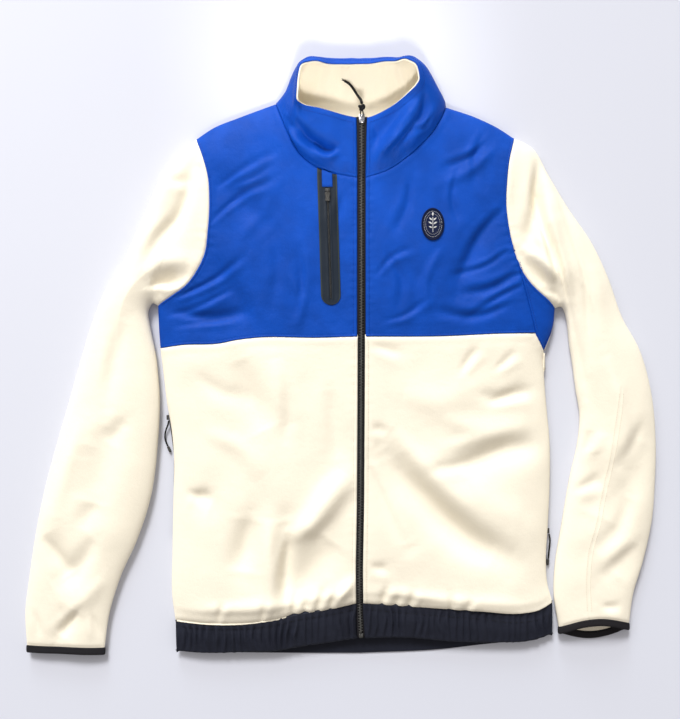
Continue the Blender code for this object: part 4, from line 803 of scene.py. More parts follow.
def under_height(x, y):
    """Height of the under cloth's outer face: it lies flat and curls up at the fold edges."""
    inward = np.clip(fold_distance(x, y) / EDGE_HEIGHT, 0, 1)
    curl = EDGE_HEIGHT * (1 - np.sqrt(1 - (1 - inward) ** 2))
    return curl + creases(x, y, BACK_CREASES) * inward


def patch(left, right, bottom, top, u, v):
    """A four-sided panel between its edge curves, each a function of the share along it."""
    across, up = u[..., None], v[..., None]
    plain = (1 - across) * left(v) + across * right(v)
    foot = bottom(u) - (1 - across) * bottom(np.zeros_like(u)) - across * bottom(np.ones_like(u))
    head = top(u) - (1 - across) * top(np.zeros_like(u)) - across * top(np.ones_like(u))
    return plain + (1 - up) * foot + up * head


def graded(length, pitch, start=SEAM_STEPS, end=SEAM_STEPS):
    """Shares along a length: the steps given in metres at its two ends, and even steps between."""
    start, end = np.asarray(start), np.asarray(end)
    middle = np.linspace(start[-1], length - end[-1], max(3, round((length - start[-1] - end[-1]) / pitch)))
    return np.concatenate([start[:-1], middle, (length - end[::-1])[1:]]) / length


def meshed(us, vs):
    """The two shares at every point of a grid, row by row."""
    return np.meshgrid(np.asarray(us, float), np.asarray(vs, float))


def tucked(points, side, reach, drop):
    """A grid with one more line beyond a seam, which runs on under the neighbour."""
    lines = points if side == "head" else points[::-1]
    step = lines[-1] - lines[-2]
    step[:, 2] = 0
    step /= np.maximum(np.linalg.norm(step, axis=1, keepdims=True), 1e-9)
    beyond = lines[-1] + step * reach - np.array([0, 0, drop])
    beyond[:, 2] = np.maximum(beyond[:, 2], TUCK_FLOOR)
    lines = np.concatenate([lines, beyond[None]])
    return lines if side == "head" else lines[::-1]


def calmed(x, y):
    """A share that falls low at the yoke's front seam and the armholes, where both cloths lie alike."""
    seam = np.array(YOKE_SEAM["right"] + backwards(YOKE_SEAM["left"]))
    share = 0.12 + 0.88 * eased(np.abs(y - read_off(seam, x)) / 0.02)
    share = np.where((x > seam[0, 0]) & (x < seam[-1, 0] + 0.014), share, 1)
    for side in SIDES:
        share = share * (0.2 + 0.8 * eased(away_from(x, y, edge(ARMHOLE[side])(EDGE_SHARES)) / 0.01))
    return share


def fleece_fine(x, y):
    lumps = 0.0016 * noise(x, y, 0.072) + 0.00062 * noise(x, y, 0.03, 1) + 0.00008 * noise(x, y, 0.007, 2)
    strength = bpy.context.scene.jacket_sizes.fleece_creases
    return calmed(x, y) * (strength * creases(x, y, FLEECE_CREASES) + 0.45 * folds(x, y) + lumps)


def shell_fine(x, y):
    slanted = 0.00085 * noise(x + 0.7 * y, 0.45 * y - 0.3 * x, 0.024, 3)
    lumps = 0.0008 * noise(x, y, 0.05, 5) + 0.00028 * noise(x, y, 0.011, 4)
    strength = bpy.context.scene.jacket_sizes.shell_creases
    return calmed(x, y) * (strength * creases(x, y, SHELL_CREASES) + 0.35 * folds(x, y) + slanted + lumps)


def shell_edge(d):
    """A turned shell edge: a raised fold with the sunk line of its stitching."""
    stitched = 0.00045 * bump(d, SHELL_STITCH_IN, 0.0007)
    return 0.00045 * bump(d, 0.0012, 0.0022) - stitched - 0.0008 * bump(d, 0, 0.0005)


def fleece_edge(d):
    """A fleece edge, which dips under its neighbour and puffs up beside it."""
    return 0.0006 * bump(d, 0.005, 0.004) - 0.0013 * bump(d, 0, 0.001)


def fleece_over(d):
    """A fleece edge that rolls over the band below it."""
    return 0.0006 * bump(d, 0.004, 0.0035) - 0.0007 * bump(d, 0, 0.0008)


def zip_edge(d):
    """A front edge turned in beside the zip, with its stitching a little way in."""
    return 0.0003 * bump(d, 0.002, 0.002) - 0.00045 * bump(d, ZIP_STITCH_IN, 0.0008) - 0.0009 * bump(d, 0, 0.0006)


def puckers(distance, along, pitch, depth, reach, layer):
    """The small pulled creases that lie across a line of stitching."""
    phase = 2 * np.pi * along / pitch + 2.2 * noise(along, 0 * along, 2.3 * pitch, layer)
    strength = 0.55 + 0.45 * noise(along, 0 * along, 3.1 * pitch, (layer + 1) % 6)
    return depth * strength * np.cos(phase) * bump(distance, 0.0045, reach)


def seams(x, y, lines):
    """What the edges of a panel add: each has its line, the shape of its edge and its puckers."""
    total = np.zeros(np.shape(x))
    for line, shape, pitch, depth, reach, layer in lines:
        distance, along = line_distance(x, y, line)
        distance = np.abs(distance)
        total = total + shape(distance) + puckers(distance, along, pitch, depth, reach, layer)
    return total


def zip_x(y):
    table = np.asarray(ZIP_LINE)
    return through(table[:, 0], table[:, 1], y)[..., 0]


def armhole_share(row):
    return (row - ARMPIT_ROW) / (1 - ARMPIT_ROW)


def wrap_seam():
    """The line where the wrapped back yoke meets the front yoke, up to the armhole."""
    return WRAP_SEAM + [tuple(edge(ARMHOLE["left"])(armhole_share(WRAP_ROW)))]


def shares_of(*tables):
    lengths = [length_of(table) for table in tables]
    return np.cumsum(lengths)[:-1] / sum(lengths)


def zip_edge_line(side, half_gap, foot, head):
    y = np.linspace(foot, head, 40)
    return np.stack([zip_x(y) + half_gap * (-1 if side == "right" else 1), y], axis=-1)


def with_height(flat, z):
    return np.concatenate([flat, z[..., None]], axis=2)


def near_fold(x, y):
    """A share that falls to 0 at the fold edges, within about an eighth of their reach."""
    return np.clip(2 * rise_from_fold(x, y), 0, 1)


def laid(flat, back, fine, lines):
    """A body panel's points: the plain under cloth, or the upper cloth with its fine relief and seams."""
    x, y = flat[..., 0], flat[..., 1]
    if back:
        return with_height(flat, under_height(x, y))
    return with_height(flat, top_height(x, y, fine=fine) + seams(x, y, lines) * near_fold(x, y))


def yoke_half(side, back):
    """One half of the front or back yoke, from its seam up to the shoulder and neck."""
    wrapped = side == "left" and not back
    neck = (BACK_NECK if back else NECK)[side]
    seam = (BACK_YOKE_SEAM if back else YOKE_SEAM)[side]
    centre = 0.0 if back else neck[0][0]
    armhole_edge = edge(ARMHOLE[side])
    fold_edge = edge(wrap_seam() if wrapped else backwards(SIDE[side][:3]))
    turn = WRAP_ROW if wrapped else ARMPIT_ROW

    def outer(row):
        return np.where((row > turn)[..., None], armhole_edge(armhole_share(row)), fold_edge(row / turn))

    foot_y = seam[-1][1]
    zip_side = [(centre, foot_y), (centre, (foot_y + neck[0][1]) / 2), (centre, neck[0][1])]
    corner = shares_of(zip_side, neck)[0]
    inner = knotted(edge(zip_side, neck), (0, 0), (CORNER_ROW, corner), (1, 1))
    pitch = UNDER_PITCH if back else TOP_PITCH
    rows = graded(YOKE_LENGTH, pitch, SEAM_STEPS, FOLD_STEPS)
    rows = np.unique(np.concatenate([rows, [ARMPIT_ROW, WRAP_ROW, CORNER_ROW]]))
    columns = graded(YOKE_WIDTH, pitch, SEAM_STEPS if wrapped else FOLD_STEPS, EVEN_STEPS if back else SEAM_STEPS)
    u, v = meshed(columns, rows)
    lines = [
        (edge(seam)(EDGE_SHARES), shell_edge, 0.008, 0.00022, 0.004, 0),
        (armhole_edge(EDGE_SHARES), shell_edge, 0.0095, 0.00038, 0.007, 1),
        (edge(neck)(EDGE_SHARES), fleece_over, 0.0085, 0.00045, 0.007, 2),
        (zip_edge_line(side, ZIP_HALF_GAP_SHELL, foot_y, neck[0][1]), zip_edge, 0.01, 0.0005, 0.006, 3),
    ]
    if wrapped:
        lines.append((fold_edge(EDGE_SHARES), fleece_over, 0.009, 0.00025, 0.005, 4))
    grid = laid(patch(outer, inner, edge(seam), edge(SHOULDER[side]), u, v), back, shell_fine, lines)
    grid[-1, :, 2] = EDGE_HEIGHT
    if not wrapped:
        grid[rows <= ARMPIT_ROW, 0, 2] = EDGE_HEIGHT
    return grid


def side_wrap():
    """The back yoke's left edge, which comes round the fold and lies on the front."""
    armhole = edge(ARMHOLE["left"])
    reach = armhole_share(WRAP_ROW)
    u, v = meshed(graded(WRAP_WIDTH, TOP_PITCH, FOLD_STEPS), graded(WRAP_LENGTH, TOP_PITCH))
    upper = lambda share: armhole(share * reach)
    lower = lambda share: np.asarray(WRAP_CORNER[0]) + 0 * share[..., None]
    flat = patch(edge(backwards(SIDE["left"][:3])), edge(WRAP_CORNER, wrap_seam()), lower, upper, u, v)
    lines = [(armhole(EDGE_SHARES), shell_edge, 0.0095, 0.0003, 0.006, 1)]
    for table in (wrap_seam(), WRAP_CORNER):
        lines.append((edge(table)(EDGE_SHARES), shell_edge, 0.009, 0.00025, 0.005, 4))
    grid = laid(flat, False, shell_fine, lines)
    grid[:, 0, 2] = EDGE_HEIGHT
    return grid


def lower_lay(side, back):
    """The function that places the points of one half of the fleece below the yoke, and its inner edges."""
    right = side == "right"
    outer = edge(backwards(SIDE[side][2 : 11 if right else 12]))
    hem = (BACK_HEM_SEAM if back else HEM_SEAM)[side]
    head_y = BACK_YOKE_SEAM["right"][-1][1] if back else YOKE_SEAM_AT_ZIP
    seam = edge((BACK_YOKE_SEAM if back else YOKE_SEAM)[side])
    if not right and not back:
        corner = shares_of(WRAP_CORNER, YOKE_SEAM["left"])[0]
        seam = knotted(edge(WRAP_CORNER, YOKE_SEAM["left"]), (0, 0), (WRAP_CORNER_COLUMN, corner), (1, 1))
    heights = np.linspace(hem[-1][1], head_y, 9)
    middle = 0 * heights if back else zip_x(heights) + ZIP_HALF_GAP_FLEECE * (-1 if right else 1)
    inner = edge(list(zip(middle, heights)))
    lay = lambda u, v: patch(outer, inner, edge(hem), seam, u, v)
    return lay, seam(EDGE_SHARES), edge(hem)(EDGE_SHARES), inner(EDGE_SHARES)


def lower_half(side, back):
    lay, seam, hem, inner = lower_lay(side, back)
    pitch = UNDER_PITCH if back else TOP_PITCH
    columns = graded(BODY_HALF_WIDTH, pitch, FOLD_STEPS, EVEN_STEPS if back else SEAM_STEPS)
    if side == "left" and not back:
        columns = np.unique(np.append(columns, WRAP_CORNER_COLUMN))
    u, v = meshed(columns, graded(LOWER_LENGTH, pitch))
    lines = [
        (seam, fleece_edge, 0.009, 0.00022, 0.006, 0),
        (hem, fleece_over, 0.0085, 0.00055, 0.006, 2),
        (inner, zip_edge, 0.011, 0.0002, 0.005, 3),
    ]
    grid = laid(lay(u, v), back, fleece_fine, lines)
    grid[:, 0, 2] = EDGE_HEIGHT
    return tucked(grid, "head", TUCK_REACH, BACK_TUCK_DROP if back else TUCK_DROP)


def gathers(along, up, layer):
    """The uneven upright folds of the elastic band."""
    wander = noise(along, up, 0.021, layer)
    phase = 2 * np.pi * along / GATHER_PITCH + 2.6 * wander + 0.5 * noise(along, up, 0.012, (layer + 2) % 6)
    strength = 1.15 + 0.75 * noise(along, 0.6 * up, 0.016, (layer + 1) % 6)
    return GATHER_DEPTH * strength * (np.cos(phase) + 0.35 * np.cos(1.9 * phase + 1.0))


def hem_half(side, back):
    """One half of the gathered hem band."""
    foot = (BACK_HEM_FOOT if back else HEM_FOOT)[side]
    lay = lower_lay(side, back)[0]
    head = lambda share: lay(share, np.zeros_like(share)) - np.array([0, 2 * SEAM_GAP])
    ends = [edge([foot[place], tuple(head(np.full(1, share))[0])]) for place, share in ((0, 0.0), (-1, 1.0))]
    columns = graded(BODY_HALF_WIDTH, 0.0032 if back else HEM_PITCH, FOLD_STEPS, EVEN_STEPS)
    u, v = meshed(columns, graded(HEM_LENGTH, 0.008 if back else 0.003))
    flat = patch(*ends, edge(foot), head, u, v)
    x, y = flat[..., 0], flat[..., 1]
    waves = gathers(x, y, 0 if side == "right" else 3)
    if back:
        lift = np.clip(waves + 0.0008, 0, 1) * (y > 0.03)
        z = under_height(x, y) + lift * np.clip(fold_distance(x, y) / EDGE_HEIGHT, 0, 1)
    else:
        pinched = np.clip(np.sin(np.pi * np.clip(v, 0.04, 0.96)), 0, 1) ** 0.5
        sunk = 0.0012 * bump(v, 0, 0.022) + 0.0006 * bump(v * HEM_LENGTH, HEM_LENGTH - 0.0075, 0.0009)
        z = top_height(x, y) + HEM_SWELL * np.sin(np.pi * v) - sunk
        z += waves * pinched * np.clip(1.5 * rise_from_fold(x, y), 0, 1)
    z[:, 0] = EDGE_HEIGHT
    return tucked(with_height(flat, z), "head", HEM_TUCK_REACH, BACK_HEM_TUCK_DROP if back else HEM_TUCK_DROP)


def sleeve_lay(side):
    """The function that places a sleeve panel's points, and the crown between its fold edges."""
    stations, rows = sleeve_rails(side)
    armhole = edge(backwards(ARMHOLE[side]))

    def lay(u, v, tilt=0.0):
        at = through(stations, rows, v)
        outer, inner, bow = at[..., 0:2], at[..., 2:4], at[..., 5]
        chord = outer + (inner - outer) * u[..., None]
        first = rows[0]
        bowed = armhole(u) - first[0:2] - (first[2:4] - first[0:2]) * u[..., None]
        settled = np.clip(v / 0.05, 0, 1) * eased((u - 0.3) / 0.7)
        flat = chord + (bow * (1 - settled))[..., None] * bowed
        flat[..., 1] += tilt * np.sin(np.pi * np.clip(u, 0, 1)) * np.clip((v - 0.9) / 0.1, 0, 1)
        return flat

    def crown(x, y, v):
        own = through(stations, rows[:, 4:5], v)[..., 0]
        fade = np.clip(v / 0.06, 0, 1)
        return body_crown(x, y) * (1 - fade) + own * fade

    return lay, crown


def sleeve_panel(side, under):
    """One face of a sleeve, from the armhole down to the cuff."""
    lay, crown = sleeve_lay(side)
    tilt = 0.0 if side == "right" else CUFF_TILT_LEFT
    pitch = UNDER_PITCH if under else TOP_PITCH
    u, v = meshed(graded(SLEEVE_WIDTH, pitch, FOLD_STEPS, FOLD_STEPS), graded(SLEEVE_LENGTH, pitch))
    flat = lay(u, v, -tilt if under else tilt)
    x, y = flat[..., 0], flat[..., 1]
    if under:
        z = under_height(x, y)
    else:
        armhole = edge(ARMHOLE[side])(EDGE_SHARES)
        added = seams(x, y, [(armhole, fleece_edge, 0.01, 0.0004, 0.008, 1)])
        added -= 0.0012 * bump((1 - v) * SLEEVE_LENGTH, 0, 0.003)
        if side == "left":
            distance = away_from(x, y, edge(SLEEVE_SEAM)(EDGE_SHARES))
            added += 0.0004 * bump(distance, 0, 0.005) - 0.0007 * bump(distance, 0, 0.0009)
        z = top_height(x, y, crown=crown(x, y, v), fine=fleece_fine) + added * near_fold(x, y)
    z[:, 0] = z[:, -1] = EDGE_HEIGHT
    grid = with_height(flat, z)
    return grid if under else tucked(grid, "foot", TUCK_REACH, TUCK_DROP)


def collar_point(base, turn, up):
    """Points of the collar's outer face over the neck seam's points: `up` is 0 there, 1 at the top."""
    rows = np.array(COLLAR) / ([1] + 6 * [MM])
    middle = through(rows[:, 0], rows[:, 1:4], turn)
    top = through(rows[:, 0], rows[:, 4:7], turn)
    t = np.asarray(up, float)[..., None]
    return base * (1 - t) * (1 - 2 * t) + middle * 4 * t * (1 - t) + top * t * (2 * t - 1)


def neck_ring():
    """The neck seam's points from the zip right round to the zip, and how far round each one is."""
    quarters = [
        (NECK["right"], top_height), (backwards(BACK_NECK["right"]), under_height),
        (BACK_NECK["left"], under_height), (backwards(NECK["left"]), top_height),
    ]  # fmt: skip
    ring, turns = [], []
    for index, (table, height) in enumerate(quarters):
        flat = edge(table)(np.linspace(0, 1, max(30, round(length_of(table) / COLLAR_PITCH))))
        shares = distances(flat)
        keep = slice(1, None) if index else slice(None)
        ring.append(np.column_stack([flat, height(flat[:, 0], flat[:, 1])])[keep])
        turns.append(index + shares[keep] / shares[-1])
    return np.vstack(ring), np.concatenate(turns)


def unit(vectors):
    return vectors / np.maximum(np.linalg.norm(vectors, axis=-1, keepdims=True), 1e-12)


def normals_of(grid):
    """The unit normals of a grid's points, towards the side that its columns and rows turn up."""
    return unit(np.cross(np.gradient(grid, axis=1), np.gradient(grid, axis=0)))


def above_floor(grid):
    grid[..., 2] = np.maximum(grid[..., 2], TUCK_FLOOR)
    return grid


def collar_grids():
    """The collar's outer face and the lining's face, both rolled over at the top edge."""
    base, turn = neck_ring()
    toward = unit(collar_point(base, turn, np.full(len(turn), 0.1)) - base)
    base = base + toward * 2 * SEAM_GAP
    foot_steps, head_steps = (0.0, 0.0007, 0.0015, 0.0026, 0.004, 0.006), (0.0, 0.0006, 0.0014, 0.0026, 0.0045)
    rows = graded(COLLAR_HEIGHT, COLLAR_PITCH, foot_steps, head_steps)
    outer = np.asarray([collar_point(base, turn, np.full(len(turn), up)) for up in rows])
    out = -normals_of(outer)
    along, up = meshed(distances(base), rows * COLLAR_HEIGHT)
    near_zip = np.minimum(along, along[:, -1:] - along)
    fade = np.clip((near_zip - 0.002) / 0.014, 0, 1) * np.clip(up / 0.009, 0, 1)
    lift = creases(outer[..., 0], outer[..., 1], COLLAR_CREASES) * np.clip(out[..., 2], 0, 1)
    lift = (lift + 0.0009 * noise(along, up, 0.024, 2)) * fade
    lift += creases(along, up, COLLAR_ROUND) + shell_edge(up) - 0.0003 * bump(up, 0.0735, 0.0008)
    lift += puckers(up, along, 0.009, 0.0005, 0.007, 5) + zip_edge(near_zip)
    lift += puckers(near_zip, up, 0.01, 0.0004, 0.005, 3)
    face = above_floor(outer + out * lift[..., None])
    swell = np.clip(np.sin(np.pi * rows), 0, 1)[:, None]
    behind = eased((1.4 - np.abs(turn - 2)) / 0.7) * swell
    inward = SHELL_WALL + SEAM_GAP + 0.001 * swell**0.5 + np.clip(creases(along, up, LINING_CREASES), 0, None)
    lining = face - out * inward[..., None] + behind[..., None] * np.array(LINING_BULGE)
    rise = unit(outer[-1] - outer[-3])
    roll = [
        face[-1] + rise * COLLAR_ROLL * math.sin(bend) - out[-1] * COLLAR_ROLL * (1 - math.cos(bend))
        for bend in (0.5, 1.0, 1.57)
    ]
    inner_roll = [
        lining[-1] + rise * COLLAR_ROLL * 0.6 * math.sin(bend) + out[-1] * 0.0002 * (1 - math.cos(bend))
        for bend in (0.7, 1.57)
    ]
    sunk = above_floor((face[0] - toward * 0.0018)[None])
    return np.concatenate([sunk, face, roll]), np.concatenate([inner_back(lining[0], turn), lining, inner_roll])


def inner_back(foot, turn):
    """Rows of the lining that run on inside the neck, forward from the seam over the back."""
    behind = np.clip((1.6 - np.abs(turn - 2)) / 0.5, 0, 1)
    rows = []
    for share in (1.0, 0.85, 0.7, 0.55, 0.4, 0.28, 0.17, 0.08, 0.03):
        row = foot.copy()
        row[:, 0] *= 1 - 0.1 * share * behind
        row[:, 1] -= INNER_BACK_REACH * share * behind
        floor = under_height(row[:, 0], row[:, 1]) + 0.006 + 0.0012 * noise(row[:, 0], row[:, 1], 0.02, 4)
        settled = np.clip(share / 0.3, 0, 1) * behind
        row[:, 2] = foot[:, 2] * (1 - settled) + floor * settled - 0.0004 * share
        rows.append(row)
    return np.asarray(rows)


# The cuff binding's section: how far down each line lies, and how far out.
CUFF_SECTION = (
    (-0.0012, -0.001), (0.0002, 0.0), (0.0009, 0.0006), (0.0022, 0.0009), (0.0046, 0.001),
    (0.007, 0.0009), (0.0084, 0.0006), (0.009, 0.0), (0.0092, -0.0008),
)  # fmt: skip


def cuff_binding(side):
    """The ribbed band round the sleeve's end, rounded over at its two edges."""
    top, under = sleeve_panel(side, False)[-1], sleeve_panel(side, True)[-1]
    loop = np.vstack([top[:-1], under[::-1][:-1], top[:1]])
    out = (loop - loop.mean(axis=0)) * (0.25, 0, 1)
    out /= np.maximum(np.linalg.norm(out, axis=1, keepdims=True), 1e-9)
    rings = np.asarray([loop + out * bulge - (0, down, 0) for down, bulge in CUFF_SECTION])
    rings[..., 2] = np.maximum(rings[..., 2], 0)
    return rings


def zip_height(y):
    """Height of the front's outer face along the zip, up the body and then up the collar."""
    y = np.asarray(y, float)
    ups = np.linspace(0, 1, 40)
    foot = np.array([0.0, NECK_AT_ZIP, top_height(np.zeros(1), np.full(1, NECK_AT_ZIP))[0]])
    on_collar = read_off(collar_point(foot, 0 * ups, ups)[:, 1:], y)
    blend = np.clip((y - NECK_AT_ZIP + 0.004) / 0.008, 0, 1)
    return top_height(zip_x(y), y) * (1 - blend) + on_collar * blend


def route(path, count):
    """Evenly spread points on the smooth curve through a route's points."""
    stations = distances(path)
    return through(stations / stations[-1], path, np.linspace(0, 1, count))


class Look:
    """A finish while it's made: its material, its shader and the object's own coordinates."""

    def __init__(self, name):
        self.material = bpy.data.materials.new(name)
        self.material.use_nodes = True
        self.tree = self.material.node_tree
        self.shader = self.tree.nodes["Principled BSDF"]
        self.where = self.node("TexCoord").outputs["Object"]

    def fill(self, socket, value):
        if isinstance(value, bpy.types.NodeSocket):
            self.tree.links.new(value, socket)
        else:
            socket.default_value = value

    def set(self, **values):
        """Sets the shader's inputs: each is a constant or the output of a node."""
        for key, value in values.items():
            self.fill(self.shader.inputs[key.replace("_", " ")], value)

    def node(self, kind, operation=None, **inputs):
        node = self.tree.nodes.new("ShaderNode" + kind)
        if operation:
            node.operation = operation
        for key, value in inputs.items():
            self.fill(node.inputs[key.replace("_", " ")], value)
        return node

    def mixed(self, factor, first, second):
        """One colour that goes from the first to the second as the factor goes from 0 to 1."""
        node = self.node("Mix")
        node.data_type = "RGBA"
        for place, value in ((0, factor), (6, first), (7, second)):
            self.fill(node.inputs[place], value)
        return node.outputs[2]

    def shaded(self, value, low, high, colour, dark, bright):
        """The colour from `dark` times itself to `bright` times, as the value goes from low to high."""
        return self.mixed(self.spread(value, low, high), tinted(colour, dark), tinted(colour, bright))

    def lumps(self, size, detail=2.0, rough=0.5):
        """Noise whose lumps are about `size` metres across."""
        return self.node("TexNoise", Vector=self.where, Scale=1 / size, Detail=detail, Roughness=rough).outputs["Fac"]

    def threads(self, pitch, direction, wobble=0.6):
        """Parallel ridges `pitch` metres apart."""
        wave = self.node("TexWave", Vector=self.where, Scale=math.pi / 10 / pitch, Distortion=wobble)
        self.fill(wave.inputs["Detail"], 1.0)
        self.fill(wave.inputs["Detail Scale"], 1.5)
        wave.bands_direction = direction
        return wave.outputs["Fac"]

    def raised(self, height, depth, strength, below=None):
        """Relief `depth` metres high over whatever relief lies below it."""
        node = self.node("Bump", Height=height, Distance=depth, Strength=strength)
        if below is not None:
            self.fill(node.inputs["Normal"], below)
        return node.outputs["Normal"]

    def spread(self, value, low, high, bottom=0.0, top=1.0):
        node = self.node("MapRange", Value=value, From_Min=low, From_Max=high, To_Min=bottom, To_Max=top)
        return node.outputs["Result"]


def tinted(colour, factor):
    return (colour[0] * factor, colour[1] * factor, colour[2] * factor, 1.0)


def fleece_finish(look, colour):
    nap = look.lumps(0.0009, 3.0, 0.65)
    tone = look.shaded(look.lumps(0.035), 0.35, 0.65, colour, 0.975, 1.0)
    tone = look.mixed(look.spread(nap, 0.3, 0.55, 0.35, 0.0), tone, tinted(colour, 0.86))
    relief = look.raised(nap, 0.0004, 0.5, look.raised(look.lumps(0.0045), 0.0006, 0.35))
    look.set(Roughness=0.95, Sheen_Weight=0.06, Sheen_Roughness=0.55, Specular_IOR_Level=0.05)
    look.set(Base_Color=tone, Normal=relief)


def shell_finish(look, colour):
    weave = look.node("Math", "MULTIPLY", Value=look.threads(0.00046, "X"))
    look.fill(weave.inputs[1], look.threads(0.00046, "Y"))
    weave = weave.outputs[0]
    tone = look.shaded(look.lumps(0.028), 0.35, 0.65, colour, 0.9, 1.08)
    tone = look.mixed(look.spread(weave, 0.0, 0.3, 0.3, 0.0), tone, tinted(colour, 0.72))
    relief = look.raised(look.lumps(0.0065, 3.0, 0.6), 0.0011, 0.4)
    relief = look.raised(look.lumps(0.0022), 0.0003, 0.35, relief)
    relief = look.raised(weave, 0.00012, 0.45, relief)
    rough = look.spread(look.lumps(0.004), 0.3, 0.7, 0.46, 0.58)
    look.set(Base_Color=tone, Roughness=rough, Specular_IOR_Level=0.12, Normal=relief)


def elastic_finish(look, colour):
    ribs = look.threads(0.0009, "X", 1.2)
    tone = look.shaded(ribs, 0.1, 0.9, colour, 0.7, 1.2)
    tone = look.mixed(look.spread(look.lumps(0.012), 0.35, 0.7, 0, 0.5), tone, tinted(colour, 1.35))
    relief = look.raised(ribs, 0.00022, 0.6, look.raised(look.lumps(0.005), 0.0006, 0.35))
    relief = look.raised(look.threads(0.0006, "Y", 0.5), 0.00008, 0.35, relief)
    look.set(Base_Color=tone, Roughness=0.62, Specular_IOR_Level=0.14, Normal=relief)


def webbing_finish(look, colour, pitch=0.0008, rough=0.85):
    """A narrow woven or braided band."""
    along = look.threads(pitch, "X", 0.3)
    tone = look.shaded(along, 0.1, 0.9, colour, 0.7, 1.3)
    across = look.threads(pitch * 0.8, "DIAGONAL", 0.3)
    relief = look.raised(across, 0.00012, 0.5, look.raised(along, 0.0002, 0.6))
    look.set(Base_Color=tone, Roughness=rough, Specular_IOR_Level=0.1, Normal=relief)


def moulded_finish(look, colour, rough):
    grain = look.lumps(0.0004, 3.0, 0.6)
    tone = look.shaded(look.lumps(0.006), 0.3, 0.7, colour, 0.85, 1.2)
    look.set(Base_Color=tone, Roughness=look.spread(grain, 0.3, 0.7, rough - 0.06, rough + 0.1))
    look.set(Specular_IOR_Level=0.25, Normal=look.raised(grain, 0.00005, 0.4))


def metal_finish(look, colour):
    scuffs = look.lumps(0.0012, 4.0, 0.7)
    tone = look.shaded(scuffs, 0.35, 0.65, colour, 0.8, 1.05)
    relief = look.raised(look.lumps(0.0003), 0.00002, 0.3)
    look.set(Base_Color=tone, Metallic=1.0, Roughness=look.spread(scuffs, 0.3, 0.7, 0.2, 0.36), Normal=relief)


def film_finish(look, colour, rim):
    """The welded pocket tape: a coated film with a painted reflection that makes it greyer towards its foot, and a
    glued rim.
    """
    place = look.node("SeparateXYZ", Vector=look.node("TexCoord").outputs["UV"]).outputs
    from_middle = look.node("Math", "SUBTRACT", Value=place["X"])
    from_middle.inputs[1].default_value = 0.5
    from_middle = look.node("Math", "ABSOLUTE", Value=from_middle.outputs[0]).outputs[0]
    # Painted reflection: the film's colour runs from lighter at its foot to darker at its head.
    tone = look.shaded(place["Y"], 0.0, 1.0, colour, 1.15, 0.8)
    tone = look.mixed(look.spread(from_middle, 0.405, 0.425), tone, tinted(rim, 1.0))
    relief = look.raised(look.lumps(0.006, 3.0), 0.0006, 0.35)
    relief = look.raised(look.threads(0.0005, "DIAGONAL", 0.3), 0.00005, 0.4, relief)
    look.set(Base_Color=tone, Roughness=0.42, Specular_IOR_Level=0.3, Normal=relief)


def thread_finish(look, colour):
    ply = look.threads(0.0003, "DIAGONAL", 0.2)
    tone = look.shaded(ply, 0.1, 0.9, colour, 0.72, 1.12)
    look.set(Base_Color=tone, Roughness=0.6, Specular_IOR_Level=0.15, Normal=look.raised(ply, 0.00008, 0.6))


# Each finish: what makes it, the panel's colour for it, and what else it takes.
FINISHES = {
    "cream_fleece": (fleece_finish, "fleece"),
    "blue_shell": (shell_finish, "shell"),
    "navy_elastic": (elastic_finish, "hem"),
    "black_binding": (webbing_finish, "binding"),
    "zip_tape_black": (webbing_finish, "binding", 0.0006),
    "cord_black": (webbing_finish, "cord", 0.0007, 0.8),
    "zip_black": (moulded_finish, "zip_teeth", 0.34),
    "moulded_black": (moulded_finish, "zip_teeth", 0.45),
    "silver_metal": (metal_finish, "metal"),
    "pocket_charcoal": (film_finish, "pocket", "pocket_rim"),
    "badge_navy": (webbing_finish, "badge", 0.0005, 0.75),
    "blue_thread": (thread_finish, "shell_thread"),
    "cream_thread": (thread_finish, "fleece_thread"),
    "black_thread": (thread_finish, "binding_thread"),
    "white_thread": (thread_finish, "badge_thread"),
}


def finish(name):
    """The material of one finish, made from the colours that the panel shows."""
    made = bpy.data.materials.get(f"jacket_{name}")
    if made:
        return made
    colours = bpy.context.scene.jacket_colours
    maker, *values = FINISHES[name]
    look = Look(f"jacket_{name}")
    maker(look, *[getattr(colours, value) if isinstance(value, str) else value for value in values])
    return look.material


def grid_quads(rows, cols, start=0):
    places = start + np.arange(rows * cols).reshape(rows, cols)
    a, b, c, d = places[:-1, :-1], places[:-1, 1:], places[1:, 1:], places[1:, :-1]
    return np.stack([a, b, c, d], axis=-1).reshape(-1, 4)


def joined(grids):
    """The points and the quads of one or more grids as one mesh."""
    quads, start = [], 0
    for grid in grids:
        quads.append(grid_quads(*grid.shape[:2], start))
        start += grid.shape[0] * grid.shape[1]
    return np.vstack([grid.reshape(-1, grid.shape[2]) for grid in grids]), np.vstack(quads)


def placed(points):
    return np.asarray(points, float).reshape(-1, 3) - np.array([CENTRE_X, CENTRE_Y, 0])


def new_piece(name, points, faces, material, *nodes, slot=None, body=BODY, uvs=None):
    """A smooth mesh object made of points in garment coordinates, riding on a body.

    It takes its material's finish, and the place of the nodes that it replaces.
    `slot` is not used.
    """
    mesh = bpy.data.meshes.new(name)
    mesh.from_pydata(placed(points).tolist(), [], [list(map(int, face)) for face in faces])
    mesh.shade_smooth()
    if uvs is not None:
        layer = mesh.uv_layers.new(name="laid")
        corners = np.zeros(len(mesh.loops), np.int32)
        mesh.loops.foreach_get("vertex_index", corners)
        layer.data.foreach_set("uv", np.asarray(uvs, float)[corners].ravel())
    piece = bpy.data.objects.new(name, mesh)
    mesh.materials.append(finish(material))
    bpy.context.scene.collection.objects.link(piece)
    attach(piece, body)
    slot or material
    if nodes:
        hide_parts(*nodes)
    return piece


